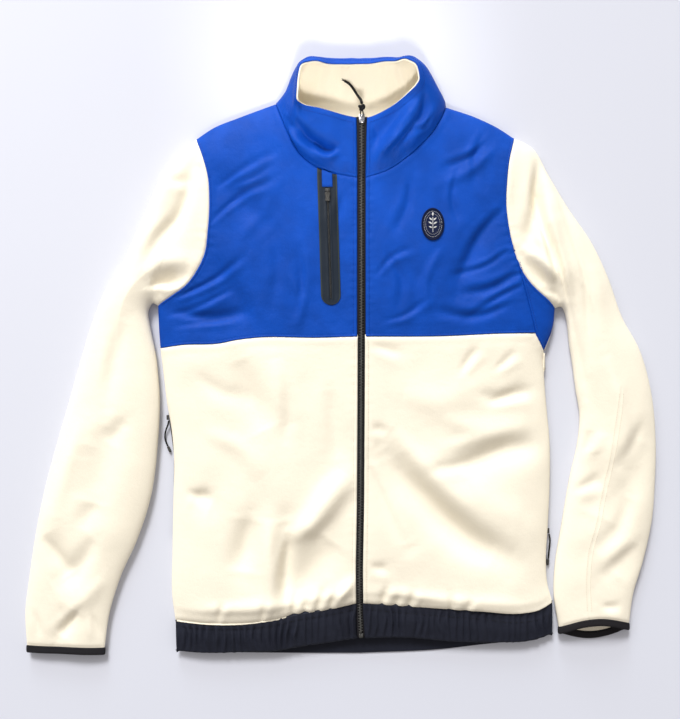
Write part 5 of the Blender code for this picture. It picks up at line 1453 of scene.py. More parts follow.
def cloth(name, grids, flips, material, wall, *nodes, lining=None):
    """A panel: one or more grids of its outer face, welded where they meet, with its wall inside."""
    grids = [grid[:, ::-1] if flip else grid for grid, flip in zip(grids, flips)]
    shares = [np.stack(meshed(*[np.linspace(0, 1, n) for n in grid.shape[1::-1]]), axis=-1) for grid in grids]
    piece = new_piece(name, *joined(grids), material, *nodes, uvs=joined(shares)[0])
    if len(grids) > 1:
        bm = bmesh.new()
        bm.from_mesh(piece.data)
        bmesh.ops.remove_doubles(bm, verts=bm.verts, dist=1e-5)
        bm.to_mesh(piece.data)
        bm.free()
    solidify = piece.modifiers.new("wall", "SOLIDIFY")
    solidify.thickness = wall
    solidify.offset = -1
    if lining:
        piece.data.materials.append(finish(lining))
        solidify.material_offset = 1
    return piece


def around(count):
    return np.linspace(0, 2 * np.pi, count, endpoint=False)


def wall_faces(rings, count, start=0, closed=False):
    """Quads between rings of `count` points each, the last ring joined to the first where closed."""
    faces = []
    for ring in range(rings if closed else rings - 1):
        low, high = start + ring * count, start + (ring + 1) % rings * count
        faces += [(low + i, high + i, high + (i + 1) % count, low + (i + 1) % count) for i in range(count)]
    return faces


def tube(name, path, radius, material, *nodes, sides=14, relief=None, slot=None):
    """A closed round tube along a path. `relief` scales its radius by distance along and turn."""
    path = np.asarray(path, float)
    along = distances(path)
    tangents = np.gradient(path, axis=0)
    tangents /= np.linalg.norm(tangents, axis=1, keepdims=True)
    side = np.cross(tangents[0], [0.0, 0.0, 1.0])
    if np.linalg.norm(side) < 0.1:
        side = np.cross(tangents[0], [1.0, 0.0, 0.0])
    turns = around(sides)
    rings = []
    for point, tangent, reach in zip(path, tangents, along):
        side = side - tangent * np.dot(side, tangent)
        side = side / np.linalg.norm(side)
        up = np.cross(side, tangent)
        scale = 1.0 if relief is None else relief(reach, turns)
        size = (radius(reach / along[-1]) if callable(radius) else radius) * scale * np.ones(sides)
        rings.append(point + (np.cos(turns) * size)[:, None] * side + (np.sin(turns) * size)[:, None] * up)
    first, last = len(path) * sides, len(path) * sides + 1
    faces = wall_faces(len(path), sides)
    for i in range(sides):
        j = (i + 1) % sides
        faces += [(first, i, j), (last, first - sides + j, first - sides + i)]
    return new_piece(name, np.vstack(rings + [path[:1], path[-1:]]), faces, material, *nodes, slot=slot)


def repeated(name, shape, faces, frames, material, *nodes, slot=None):
    """Copies of one small shape, each in its own frame: an origin and three axes as rows."""
    shape = np.asarray(shape, float)
    points = [np.asarray(origin) + shape @ np.asarray(axes) for origin, axes in frames]
    every = [tuple(v + index * len(shape) for v in face) for index in range(len(frames)) for face in faces]
    return new_piece(name, np.vstack(points), every, material, *nodes, slot=slot)


def prism(outline, levels):
    """Points and faces of an upright block: its outline at each level is scaled towards its middle."""
    outline = np.asarray(outline, float)
    middle = outline.mean(axis=0)
    count = len(outline)
    rings = [np.column_stack([middle + (outline - middle) * scale, np.full(count, z)]) for z, scale in levels]
    faces = [face[:1] + face[:0:-1] for face in wall_faces(len(levels), count)]
    faces.append(tuple(reversed(range(count))))
    faces.append(tuple((len(levels) - 1) * count + i for i in range(count)))
    return np.vstack(rings), faces


def block(low, high, rounding, inset=0.9):
    return [(low, inset), (low + rounding, 1.0), (high - rounding, 1.0), (high, inset)]


LAID = {}


@functools.cache
def surface(name):
    """A function that reads the height of a laid panel's face under any point."""
    points, quads = joined(LAID[name])
    tree = BVHTree.FromPolygons(points.tolist(), quads.tolist())

    def height(x, y):
        found = []
        for px, py in zip(np.ravel(x), np.ravel(y)):
            hit = tree.ray_cast(Vector((px, py, 1.0)), Vector((0, 0, -1)))
            found.append(hit[0].z if hit[0] else tree.find_nearest(Vector((px, py, 0.02)))[0].z)
        return np.asarray(found).reshape(np.shape(x))

    return height


def offset_line(line, distance):
    """The line moved sideways, to the left of its own direction where the distance is positive."""
    line = np.asarray(line, float)
    step = np.gradient(line, axis=0)
    step /= np.linalg.norm(step, axis=1, keepdims=True)
    return line + np.column_stack([-step[:, 1], step[:, 0]]) * distance


def stitch_frames(path, length, gap, lift):
    """A frame for each stitch along a path of x, y and z."""
    path = np.asarray(path, float)
    along = distances(path)
    starts = np.arange(gap, along[-1] - length, length + gap)
    read = lambda at: np.stack([np.interp(at, along, path[:, i]) for i in range(3)], axis=-1)
    frames = []
    for a, b in zip(read(starts), read(starts + length)):
        forward = (b - a) / np.linalg.norm(b - a)
        side = np.cross([0.0, 0.0, 1.0], forward)
        side /= np.linalg.norm(side)
        up = np.cross(forward, side)
        frames.append(((a + b) / 2 + up * lift, np.stack([forward * length, side, up])))
    return frames


STITCH_SIDES = 5
STITCH_DIP = 0.0002


def stitches(name, paths, material, slot, length=None, thick=0.00034, lift=0.00006):
    """Raised dashes of thread along one or more paths, as one piece."""
    sizes = bpy.context.scene.jacket_sizes
    length = length or sizes.stitch_length
    shape = [(-0.5, 0, -STITCH_DIP)]
    for share, width in ((-0.36, 0.8), (0.0, 1.0), (0.36, 0.8)):
        size = width * thick
        shape += [(share, size * math.cos(turn), size * math.sin(turn)) for turn in around(STITCH_SIDES)]
    shape.append((0.5, 0, -STITCH_DIP))
    last = len(shape) - 1
    top = last - STITCH_SIDES
    faces = [(0, 1 + (i + 1) % STITCH_SIDES, 1 + i) for i in range(STITCH_SIDES)]
    faces += [(last, top + i, top + (i + 1) % STITCH_SIDES) for i in range(STITCH_SIDES)]
    faces += [face[:1] + face[:0:-1] for face in wall_faces(3, STITCH_SIDES, 1)]
    frames = [frame for path in paths for frame in stitch_frames(path, length, sizes.stitch_gap, lift)]
    return repeated(name, shape, faces, frames, material, slot=slot)


def on_face(height, line):
    """A flat line laid on a face."""
    line = np.asarray(line, float)
    count = max(8, round(length_of(line) / LINE_PITCH))
    flat = edge(line)(np.linspace(0, 1, count))
    return np.column_stack([flat, height(flat[:, 0], flat[:, 1])])


def colour(name, description, value):
    return FloatVectorProperty(name=name, description=description, default=value, subtype="COLOR", min=0, max=1)


def amount(name, description, value, low, high, unit="NONE"):
    return FloatProperty(name=name, description=description, default=value, min=low, max=high, unit=unit, precision=4)


class JacketColours(bpy.types.PropertyGroup):
    """Colours of the jacket's finishes."""

    fleece: colour("Fleece", "Smooth cream fleece", (0.96, 0.895, 0.75))
    shell: colour("Shell", "Woven shell of the yokes and collar", (0.0027, 0.065, 0.431))
    hem: colour("Hem band", "Gathered elastic hem band", (0.014, 0.016, 0.027))
    binding: colour("Cuff binding", "Cuff bindings and zip tapes", (0.02, 0.019, 0.022))
    zip_teeth: colour("Zip teeth", "Moulded zip parts", (0.05, 0.049, 0.047))
    metal: colour("Slider metal", "Plated main slider", (0.64, 0.64, 0.65))
    cord: colour("Cords", "Pull cords", (0.016, 0.016, 0.018))
    pocket: colour("Pocket tape", "Welded tape of the chest pocket", (0.009, 0.016, 0.028))
    pocket_rim: colour("Pocket tape rim", "Glued rim of the pocket tape", (0.03, 0.04, 0.034))
    badge: colour("Badge", "Woven badge ground", (0.01, 0.015, 0.048))
    shell_thread: colour("Shell thread", "Stitching on the shell", (0.004, 0.05, 0.36))
    fleece_thread: colour("Fleece thread", "Stitching on the fleece", (0.82, 0.74, 0.6))
    binding_thread: colour("Binding thread", "Stitching on the bindings and band", (0.012, 0.012, 0.014))
    badge_thread: colour("Badge thread", "Pale thread of the badge", (0.68, 0.69, 0.7))


class JacketSizes(bpy.types.PropertyGroup):
    """Sizes of the jacket's sewing and zips."""

    stitch_length: amount("Stitch length", "Length of one topstitch", 0.0024, 0.001, 0.006, "LENGTH")
    stitch_gap: amount("Stitch gap", "Gap between two topstitches", 0.0008, 0.0002, 0.003, "LENGTH")
    tooth_pitch: amount("Tooth pitch", "Distance between two teeth of one side", 0.0034, 0.001, 0.006, "LENGTH")
    fleece_creases: amount("Fleece creases", "Strength of the fleece's small creases", 2.5, 0, 4)
    shell_creases: amount("Shell creases", "Strength of the shell's small creases", 3.2, 0, 4)


class JacketStage(bpy.types.PropertyGroup):
    """The floor, lights and camera."""

    floor: colour("Floor", "Colour of the floor", (0.68, 0.7, 0.79))
    key_power: amount("Key light", "Power of the soft light beyond the collar", 8.0, 0, 200, "POWER")
    slant: amount("Slanting light", "Strength of the low light that draws the folds", 2.5, 0, 20)
    window: amount("Window light", "Strength of the very low light that draws long shadows", 1.1, 0, 20)
    neck_power: amount("Neck light", "Power of the small light into the neck", 58.0, 0, 200, "POWER")
    sky: amount("Sky", "Strength of the even light from all round", 0.46, 0, 4)
    camera_height: amount("Camera height", "Height of the camera over the floor", 1.1, 0.3, 5, "LENGTH")
    view_width: amount("View width", "Width of the floor that the camera sees", 0.8568, 0.2, 5, "LENGTH")


def area_of(grids):
    """The measured area of a laid face."""
    area = 0.0
    for grid in grids:
        across, up = np.diff(grid, axis=1)[:-1], np.diff(grid, axis=0)[:, :-1]
        area += float(np.linalg.norm(np.cross(across, up), axis=2).sum())
    return area


def panel(name, grids, flips, material, wall, lining=None):
    """A panel that takes its node's place; its measured area must lie near the area that it was cut to."""
    piece = cloth(f"{name}_cloth", grids, flips, material, wall, name, lining=lining)
    LAID[name] = grids
    surface.cache_clear()
    width, length, area = CUTS[name]
    measured = area_of(grids)
    if not 0.8 < measured / area < 1.25:
        raise RuntimeError(f"{name}: cut {area}, measured {measured:.4f}")


def body_panels(pattern, half, material, wall, wrap=(), lining=None):
    """The back in one piece, then the two fronts, which rest on it."""
    back = pattern.format("back")
    grids = [half("right", True), half("left", True), *wrap]
    panel(back, grids, [True, False, True], material, wall, lining=lining)
    for side in SIDES:
        name = f"{pattern.format('front')}_{side}"
        panel(name, [half(side, False)], [side == "left"], material, wall, lining)


class JacketStep:
    """Shared ground of the jacket's steps."""

    bl_options = {"UNDO"}

    def execute(self, context):
        self.make()
        return {"FINISHED"}


class JACKET_OT_lower(JacketStep, bpy.types.Operator):
    """Fleece of the body below the yokes, front and back"""

    bl_idname = "jacket.lower"
    bl_label = "Lower body"

    def make(self):
        body_panels("{}_lower", lower_half, "cream_fleece", FLEECE_WALL)


class JACKET_OT_yokes(JacketStep, bpy.types.Operator):
    """Woven shell of the shoulders, front and back"""

    bl_idname = "jacket.yokes"
    bl_label = "Yokes"

    def make(self):
        wrap = side_wrap()
        body_panels("{}_yoke", yoke_half, "blue_shell", SHELL_WALL, [wrap], "cream_fleece")
        LAID["side_wrap"] = [wrap]


class JACKET_OT_hem(JacketStep, bpy.types.Operator):
    """Gathered elastic hem band"""

    bl_idname = "jacket.hem"
    bl_label = "Hem band"

    def make(self):
        body_panels("hem_band_{}", hem_half, "navy_elastic", SHELL_WALL)


class JACKET_OT_sleeves(JacketStep, bpy.types.Operator):
    """Fleece sleeves with their bound cuffs"""

    bl_idname = "jacket.sleeves"
    bl_label = "Sleeves"

    def make(self):
        for side in SIDES:
            flip = side == "left"
            for face, under in (("top", False), ("under", True)):
                grids = [sleeve_panel(side, under)[::-1]]
                panel(f"sleeve_{side}_{face}", grids, [flip != under], "cream_fleece", FLEECE_WALL)
            panel(f"cuff_binding_{side}", [cuff_binding(side)[::-1]], [flip], "black_binding", BINDING_WALL)


class JACKET_OT_collar(JacketStep, bpy.types.Operator):
    """Stand collar: shell outside, fleece inside"""

    bl_idname = "jacket.collar"
    bl_label = "Collar"

    def make(self):
        outer, lining = collar_grids()
        panel("collar_lining", [lining], [True], "cream_fleece", LINING_WALL)
        panel("collar_outer", [outer], [True], "blue_shell", SHELL_WALL)


def mirrored(half):
    """An outline from its right half, which runs from the foot up: the left half comes back down."""
    return [*half, *((-x, y) for x, y in reversed(half) if x)]


def turned(direction):
    """A frame's axes for a flat direction: along it, across it and up."""
    return np.array([direction, [-direction[1], direction[0], 0], [0, 0, 1.0]])


class JACKET_OT_zip(JacketStep, bpy.types.Operator):
    """Main zip: tapes, teeth, bottom box, slider and its cord pull"""

    bl_idname = "jacket.zip"
    bl_label = "Main zip"

    def make(self):
        self.tapes()
        self.teeth()
        self.slider()
        self.bottom_box()
        self.pull()

    def tapes(self):
        """Woven tapes, which run on under the front edges."""
        y = np.unique(np.append(np.linspace(TAPE_FOOT, TAPE_HEAD, 250), [YOKE_SEAM_AT_ZIP]))
        shell = np.clip((y - YOKE_SEAM_AT_ZIP - 0.002) / 0.004, 0, 1)
        half = ZIP_HALF_GAP_FLEECE + (ZIP_HALF_GAP_SHELL - ZIP_HALF_GAP_FLEECE) * shell - SEAM_GAP
        z = zip_height(y) - TAPE_SINK
        for side, sign in (("right", -1), ("left", 1)):
            lines = [(0.0002 + 0 * y, 0), (0.5 * half, 0), (half, 0), (half + 0.0028, -0.0016)]
            grid = np.stack([np.stack([zip_x(y) + sign * out, y, z + lift], axis=-1) for out, lift in lines], axis=1)
            name = f"zip_tape_{side}"
            cloth(f"{name}_woven", [grid], [side == "right"], "zip_tape_black", TAPE_WALL, name)

    def teeth(self):
        """Moulded teeth that mesh along the zip's line, each side's shifted by half a pitch."""
        pitch = bpy.context.scene.jacket_sizes.tooth_pitch
        outline = [(-TEETH_HALF_WIDTH, -0.00068), (-0.0006, -0.0006), (0.0002, -0.00096), (0.0011, -0.00066)]
        outline += [(x, -y) for x, y in reversed(outline)]
        low, high = TEETH_PROUD - TEETH_WALL, TEETH_PROUD
        shape, faces = prism(outline, [(low, 0.96), (low + 0.0003, 1.0), (high - 0.0003, 1.0), (high, 0.8)])
        slope = lambda place, y: (place(y + 0.001) - place(y - 0.001)) / 0.002
        frames = []
        for sign, shift in ((1, 0.0), (-1, 0.5)):
            y = np.arange(TEETH_FOOT + pitch * (0.4 + shift), TEETH_HEAD, pitch)
            for px, py, pz, rise, drift in zip(zip_x(y), y, zip_height(y), slope(zip_height, y), slope(zip_x, y)):
                forward = np.array([drift, 1, rise]) / math.sqrt(1 + rise**2 + drift**2)
                across = np.array([sign * 1.0, -sign * drift, 0])
                frames.append(((px, py, pz), np.stack([across, forward, np.cross([1.0, 0, 0], forward)])))
        repeated("zip_teeth_moulded", shape, faces, frames, "zip_black", "zip_teeth")

    def base_over(self, y, length):
        """Height at which a fitting stands on the tapes."""
        return float(zip_height(y + np.array([-0.5, 0.5]) * length).max()) - TAPE_SINK + SEAM_GAP

    def slider(self):
        """Metal slider: two plates with side flanges, a neck between them and a bridge for the pull."""
        base = self.base_over(SLIDER_Y, SLIDER[1])
        self.top = top = base + SLIDER[2]
        half, reach = SLIDER[0] / 2, SLIDER[1] / 2
        plate = mirrored([
            (0.72 * half, -reach), (0.9 * half, -0.3 * reach), (half, 0.25 * reach), (half, 0.85 * reach),
            (0.45 * half, reach), (0, 0.82 * reach),
        ])  # fmt: skip
        flange = [(0.62 * half, -0.95 * reach), (0.8 * half, -0.95 * reach), (half, 0.1 * reach),
                  (half, 0.8 * reach), (0.8 * half, 0.8 * reach)]  # fmt: skip
        neck = mirrored([(0.001, 0.2 * reach), (0.001, 0.7 * reach)])
        walls = [flange, [(-x, y) for x, y in reversed(flange)], neck]
        parts = [(plate, top - 0.0011, top), (plate, base, base + 0.0009)]
        parts += [(outline, base + 0.0006, top - 0.0006) for outline in walls]
        points, faces = [], []
        for outline, low, high in parts:
            shape, own = prism(outline, block(low, high, 0.00025, 0.93))
            faces += [tuple(i + sum(map(len, points)) for i in face) for face in own]
            points.append(shape + (0, SLIDER_Y, 0))
        new_piece("zip_slider_plates", np.vstack(points), faces, "silver_metal", "zip_slider")
        head = top + BAIL_RISE
        arch = [(-BAIL_REACH, top - 0.0002), (-BAIL_REACH, top + 0.002), (0.001 - BAIL_REACH, head)]
        arch += [(-y, z) for y, z in reversed(arch)]
        path = route([(0, SLIDER_Y + y, z) for y, z in arch], 24)
        tube("zip_bail_bridge", path, BAIL_RADIUS * 1.15, "silver_metal", "zip_bail")

    def bottom_box(self):
        wide, tall = BOTTOM_BOX[0] / 2, BOTTOM_BOX[1] / 2
        y = TEETH_FOOT - SEAM_GAP - tall
        base = self.base_over(y, BOTTOM_BOX[1])
        outline = mirrored([
            (0.7 * wide, -tall), (wide, -0.7 * tall), (wide, tall), (0.15 * wide, tall), (0.15 * wide, 0.5 * tall),
        ])  # fmt: skip
        shape, faces = prism(outline, block(base, base + BOTTOM_BOX[2], 0.0004, 0.9))
        new_piece("zip_bottom_box_moulded", shape + (float(zip_x(y)), y, 0), faces, "zip_black", "zip_bottom_box")

    def pull(self):
        """The cord pull: a loop through the bail, a knot and one free end with a frayed tip."""
        across, z = PULL_LOOP_HALF_WIDTH, self.top + PULL_LOOP_LIFT
        foot, head = PULL_LOOP_FOOT, PULL_LOOP_HEAD + 0.0012
        half = [(-0.6 * across, head, z), (-across, foot + 0.0022, z), (-0.6 * across, foot, z)]
        path = route(half + [(-x, y, z) for x, y, z in reversed(half)], 40)
        tube("zip_pull_loop_cord", path, PULL_LOOP_RADIUS, "cord_black", "zip_pull_loop", relief=braid(0.0022, 6))
        knot("zip_pull_knot_cord", (0, KNOT_Y, z), KNOT_RADII, 0.0015, "zip_pull_knot")
        line = route(ZIP_CORD, 70)
        thinning = lambda share: CORD_RADIUS * (1 - 0.12 * share)
        cord = tube("zip_pull_cord_braid", line, thinning, "cord_black", "zip_pull_cord", relief=braid(0.0042, 8))
        end, before = line[-1], line[-4]
        along = (end - before) / np.linalg.norm(end - before)
        aside = turned(along)[1]
        thread = lambda share: 0.0007 * (1 - 0.6 * share)
        frayed = ((0.7, 0.0034, 0.0003), (-0.6, 0.0042, -0.0002), (0.1, 0.0024, 0.0006))
        for index, (side, reach, lift) in enumerate(frayed):
            tip = end + along * reach + aside * side * 0.0018 + (0, 0, lift)
            path = [end - along * 0.0016, end + along * reach * 0.4 + aside * side * 0.0006, tip]
            tube(f"zip_pull_fray_{index}", route(path, 8), thread, "cord_black", sides=8)
        tuple(placed([ZIP_CORD[0]])[0])
        length_of(line)
        [tuple(p) for p in placed(line)]  # fmt: skip


def braid(pitch, strands, depth=0.07):
    """Relief of a round braid: two sets of strands that wind opposite ways."""

    def relief(reach, turns):
        along = 2 * np.pi * reach / pitch
        return 1 + depth * np.cos(strands / 2 * turns + along) * np.cos(strands / 2 * turns - along)

    return relief


def knot(name, centre, radii, strand, node):
    """An overhand knot: one cord wound on itself as a trefoil, flattened to the knot's size."""
    turns = np.linspace(0, 2 * np.pi, 91)
    wide, tall = (radii[0] - strand) / 3.0, (radii[1] - strand) / 3.0
    x = wide * (np.sin(turns) + 2 * np.sin(2 * turns))
    y = tall * (np.cos(turns) - 2 * np.cos(2 * turns))
    z = -(radii[2] - strand) * np.sin(3 * turns)
    tube(name, np.column_stack([x, y, z]) + centre, strand, "cord_black", node, relief=braid(0.004, 8, 0.05))


def pocket_x(y):
    return read_off(POCKET_LINE, y)


def below_neck(x):
    """Height up the front at which what lies on the right yoke stops short of the neck seam."""
    return read_off(backwards(NECK["right"]), x) - POCKET_NECK_MARGIN


class JACKET_OT_chest_pocket(JacketStep, bpy.types.Operator):
    """Welded chest pocket with its coil zip, garage, slider and hinged pull tab"""

    bl_idname = "jacket.chest_pocket"
    bl_label = "Chest pocket"

    def make(self):
        self.height = surface("front_yoke_right")
        self.tape()
        self.coil()
        self.garage()
        self.slider()

    def strip(self, across, up, foot, half_width, lift):
        """Points over the pocket's line, up to the neck. `half_width` and `lift` depend on the place on it."""
        u, v = meshed(across, up)
        head_x = pocket_x(GARAGE_FOOT) + u * half_width(np.full(u.shape, GARAGE_FOOT))
        y = foot + (below_neck(head_x) - foot) * v
        x = pocket_x(y) + u * half_width(y)
        return np.stack([x, y, self.smooth(x, y) + lift(u, v, y)], axis=-1)

    def smooth(self, x, y):
        """The yoke's height with its weave of small puckers evened out."""
        near = ((0, 0), (0.002, 0), (-0.002, 0), (0, 0.003), (0, -0.003))
        return np.mean([self.height(x + dx, y + dy) for dx, dy in near], axis=0)

    def tape(self):
        wide = POCKET_HALF_WIDTH
        face = ON_CLOTH_GAP + POCKET_TAPE_WALL

        def rounded(y):
            drop = np.clip((POCKET_FOOT + wide - y) / wide, 0, 1)
            return wide * np.maximum(np.sqrt(1 - drop**2), 0.12)

        def lift(u, v, y):
            u = np.abs(u)
            rim = 0.00018 * (u > 0.83) * (u < 0.97)
            welt = 0.00075 * bump(u * wide, 0.0026, 0.0011) * np.clip((y - COIL_FOOT + 0.004) / 0.003, 0, 1)
            return face - rim - 0.0003 * (u > 0.99) + welt

        foot_rows = [0, 0.002, 0.005, 0.01, 0.017, 0.026, 0.037, 0.05, 0.065, 0.08]
        up = np.concatenate([foot_rows, np.linspace(0.1, 1.0, 70)])
        rim = np.array([0.81, 0.86, 0.92, 0.975, 1])
        across = np.concatenate([-rim[::-1], np.linspace(-0.72, 0.72, 25), rim])
        grid = self.strip(across, up, POCKET_FOOT, rounded, lift)
        cloth("pocket_tape_film", [grid], [False], "pocket_charcoal", POCKET_TAPE_WALL, "pocket_tape")

    def coil(self):
        """The closed coil: a fine ridge of alternating loops down the middle."""
        y = np.arange(COIL_FOOT, COIL_HEAD, COIL_PITCH)
        x = pocket_x(y)
        z = self.smooth(x, y) + ON_CLOTH_GAP + POCKET_TAPE_WALL + SEAM_GAP
        outline = [(-0.0014, -0.00016), (0.0003, -0.00024), (0.0005, 0), (0.0003, 0.00024), (-0.0014, 0.00016)]
        shape, faces = prism(outline, [(0.0, 1.0), (COIL_WALL * 0.7, 0.95), (COIL_WALL, 0.6)])
        frames = [(place, np.diag([1.0 if index % 2 else -1.0, 1, 1])) for index, place in enumerate(zip(x, y, z))]
        repeated("pocket_coil_loops", shape, faces, frames, "zip_black", "pocket_coil")

    def garage(self):
        face = ON_CLOTH_GAP + POCKET_TAPE_WALL + SEAM_GAP + GARAGE_WALL
        narrow = lambda y: GARAGE_HALF_WIDTH + 0 * y
        lift = lambda u, v, y: face + 0.0004 * (1 - u**2) - 0.0004 * bump(v, 0, 0.08) - 0.0003 * (np.abs(u) > 0.97)
        grid = self.strip(np.linspace(-1, 1, 17), np.linspace(0, 1, 14), GARAGE_FOOT, narrow, lift)
        cloth("pocket_garage_shell", [grid], [False], "blue_shell", GARAGE_WALL, "pocket_garage")
        stitches("stitches_garage", [grid[1, 1:-1] + (0, 0.0006, 0)], "blue_thread", "blue_shell", 0.0016, 0.00024)

    def slider(self):
        middle = float(pocket_x(POCKET_SLIDER_Y))
        low, high = (node[2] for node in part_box("pocket_slider"))
        half, reach = POCKET_SLIDER[0] / 2, POCKET_SLIDER[1] / 2
        outline = mirrored([(0.7 * half, -reach), (half, 0.1 * reach), (half, 0.8 * reach), (0.6 * half, reach)])
        levels = [(low, 0.9), (low + 0.0004, 1.0), (high - 0.0009, 1.0), (high - 0.0004, 0.93), (high, 0.62)]
        shape, faces = prism(outline, levels)
        shape = shape + (middle, POCKET_SLIDER_Y, 0)
        new_piece("pocket_slider_body", shape, faces, "moulded_black", "pocket_slider")
        head = high + PULL_BAR_LIFT
        side = PULL_BAR_HALF_WIDTH
        arch = [(-side, high - 0.0002), (-side, head - 0.0006), (-side + 0.0005, head)]
        arch += [(-x, z) for x, z in reversed(arch)]
        path = route([(middle + x, POCKET_SLIDER_Y, z) for x, z in arch], 30)
        tube("pocket_bail_wire", path, PULL_BAR_RADIUS, "moulded_black", "pocket_bail", sides=12)
        self.tab((middle, POCKET_SLIDER_Y, head))

    def tab(self, pivot):
        """The moulded pull: a ring round the bar and a waisted tab with grip ridges."""
        rows, cols, ring_sides, tube_sides = 45, 17, 28, 10
        half, long, thick = PULL_TAB[0] / 2, PULL_TAB[1], PULL_TAB[2] / 2
        u, v = meshed(np.linspace(-1, 1, cols), np.linspace(0, 1, rows))
        middle = (v - 0.5) / 0.5
        waist = 0.86 + 0.14 * np.cos(2 * np.pi * (v - 0.08))
        width = half * waist * np.sqrt(np.clip(1 - (middle / 1.01) ** 8, 0.02, 1))
        rounded = np.sqrt(np.clip(1 - np.abs(u) ** 6, 0.0, 1)) * np.sqrt(np.clip(1 - middle**12, 0.0, 1))
        ridge = 0.1 * np.cos(2 * np.pi * v * 9) * (v > 0.28) * (v < 0.88) * (np.abs(u) < 0.72)
        faces = [
            np.stack([u * width, -PULL_TAB_START - v * long, height], axis=-1).reshape(-1, 3)
            for height in (thick * rounded * (0.9 + ridge), -thick * rounded * 0.9)
        ]
        quads = np.vstack([grid_quads(rows, cols)[:, ::-1], grid_quads(rows, cols, rows * cols)])
        mid, wall = (PULL_EYE_OUTER + PULL_EYE_INNER) / 2, (PULL_EYE_OUTER - PULL_EYE_INNER) / 2
        ring = []
        for a in around(ring_sides):
            for b in around(tube_sides):
                r = mid + wall * math.cos(b)
                ring.append((PULL_EYE_HALF_WIDTH * math.sin(b), r * math.cos(a), r * math.sin(a)))
        every = [tuple(map(int, quad)) for quad in quads]
        every += wall_faces(ring_sides, tube_sides, 2 * rows * cols, closed=True)
        cos, sin = math.cos(PULL_TAB_DROOP), math.sin(PULL_TAB_DROOP)
        points = np.vstack([*faces, ring]) @ [[1, 0, 0], [0, cos, sin], [0, -sin, cos]] + pivot
        new_piece("pocket_pull_tab_moulded", points, every, "moulded_black", "pocket_pull_tab", body=TAB_BODY)


class JACKET_OT_badge(JacketStep, bpy.types.Operator):
    """Oval badge with a bound rim and a plain leaf sprig"""

    bl_idname = "jacket.badge"
    bl_label = "Badge"

    def make(self):
        height = surface("front_yoke_left")
        t, r = meshed(np.linspace(0, 2 * np.pi, 73), np.linspace(0, 1, 9))
        lift = ON_CLOTH_GAP + BADGE_WALL
        x = BADGE_X + BADGE_HALF_WIDTH * r * np.cos(t)
        y = BADGE_Y + BADGE_HALF_HEIGHT * r * np.sin(t)
        grid = np.stack([x, y, height(x, y) + lift - 0.0003 * r**6], axis=-1)
        cloth("badge_ground", [grid], [True], "badge_navy", BADGE_WALL, "badge")
        self.height = lambda px, py: float(height(np.array(px), np.array(py))) + lift
        self.rim()
        self.ring(0.8, 0.0003, "badge_line_outer")
        self.ring(0.64, 0.00022, "badge_line_inner")
        self.sprig()

    def on_badge(self, x, y):
        """A place on the badge's face, from its middle."""
        return np.array([BADGE_X + x, BADGE_Y + y, self.height(BADGE_X + x, BADGE_Y + y)])

    def at(self, share, turn):
        return self.on_badge(BADGE_HALF_WIDTH * share * math.cos(turn), BADGE_HALF_HEIGHT * share * math.sin(turn))

    def rim(self):
        """Satin threads wrapped over the badge's edge."""
        outline = [(-0.001, -0.00026), (0.001, -0.00026), (0.001, 0.00026), (-0.001, 0.00026)]
        shape, faces = prism(outline, [(-0.0006, 1.0), (0.0001, 1.0), (0.0004, 0.6)])
        frames = []
        for turn in around(190):
            out = np.array([math.cos(turn) / BADGE_HALF_WIDTH, math.sin(turn) / BADGE_HALF_HEIGHT, 0])
            frames.append((self.at(0.955, turn), turned(out / np.linalg.norm(out))))
        repeated("badge_rim_threads", shape, faces, frames, "badge_navy")

    def ring(self, share, thick, name):
        path = [self.at(share, turn) for turn in np.linspace(0, 2 * np.pi, 120)]
        stitches(name, [path], "white_thread", "badge_navy", 0.0012, thick, 0.0001)

    def sprig(self):
        """A plain stem with paired leaves in pale thread: each leaf's place, angle and length."""
        leaves = [(0.009, 90, 0.0056)]
        for y, angle, size in ((0.0042, 40, 0.0052), (-0.0004, 32, 0.0056), (-0.005, 24, 0.0048)):
            leaves += [(y, angle, size), (y, 180 - angle, size)]
        outline = [(0, 0), (0.28, -0.17), (0.62, -0.17), (1, 0), (0.62, 0.17), (0.28, 0.17)]
        shape, faces = prism(outline, [(-0.02, 1.0), (0.05, 0.96), (0.09, 0.6)])
        frames = []
        for y, angle, size in leaves:
            out = np.array([math.cos(math.radians(angle)), math.sin(math.radians(angle)), 0])
            frames.append((self.on_badge(0, y) + out * 0.0008, turned(out) * size))
        repeated("badge_leaves", shape, faces, frames, "white_thread", slot="badge_navy")
        stem = [self.on_badge(0, y) + (0, 0, 0.0001) for y in np.linspace(-0.01, 0.0088, 16)]
        tube("badge_stem", stem, 0.00036, "white_thread", sides=8, slot="badge_navy")


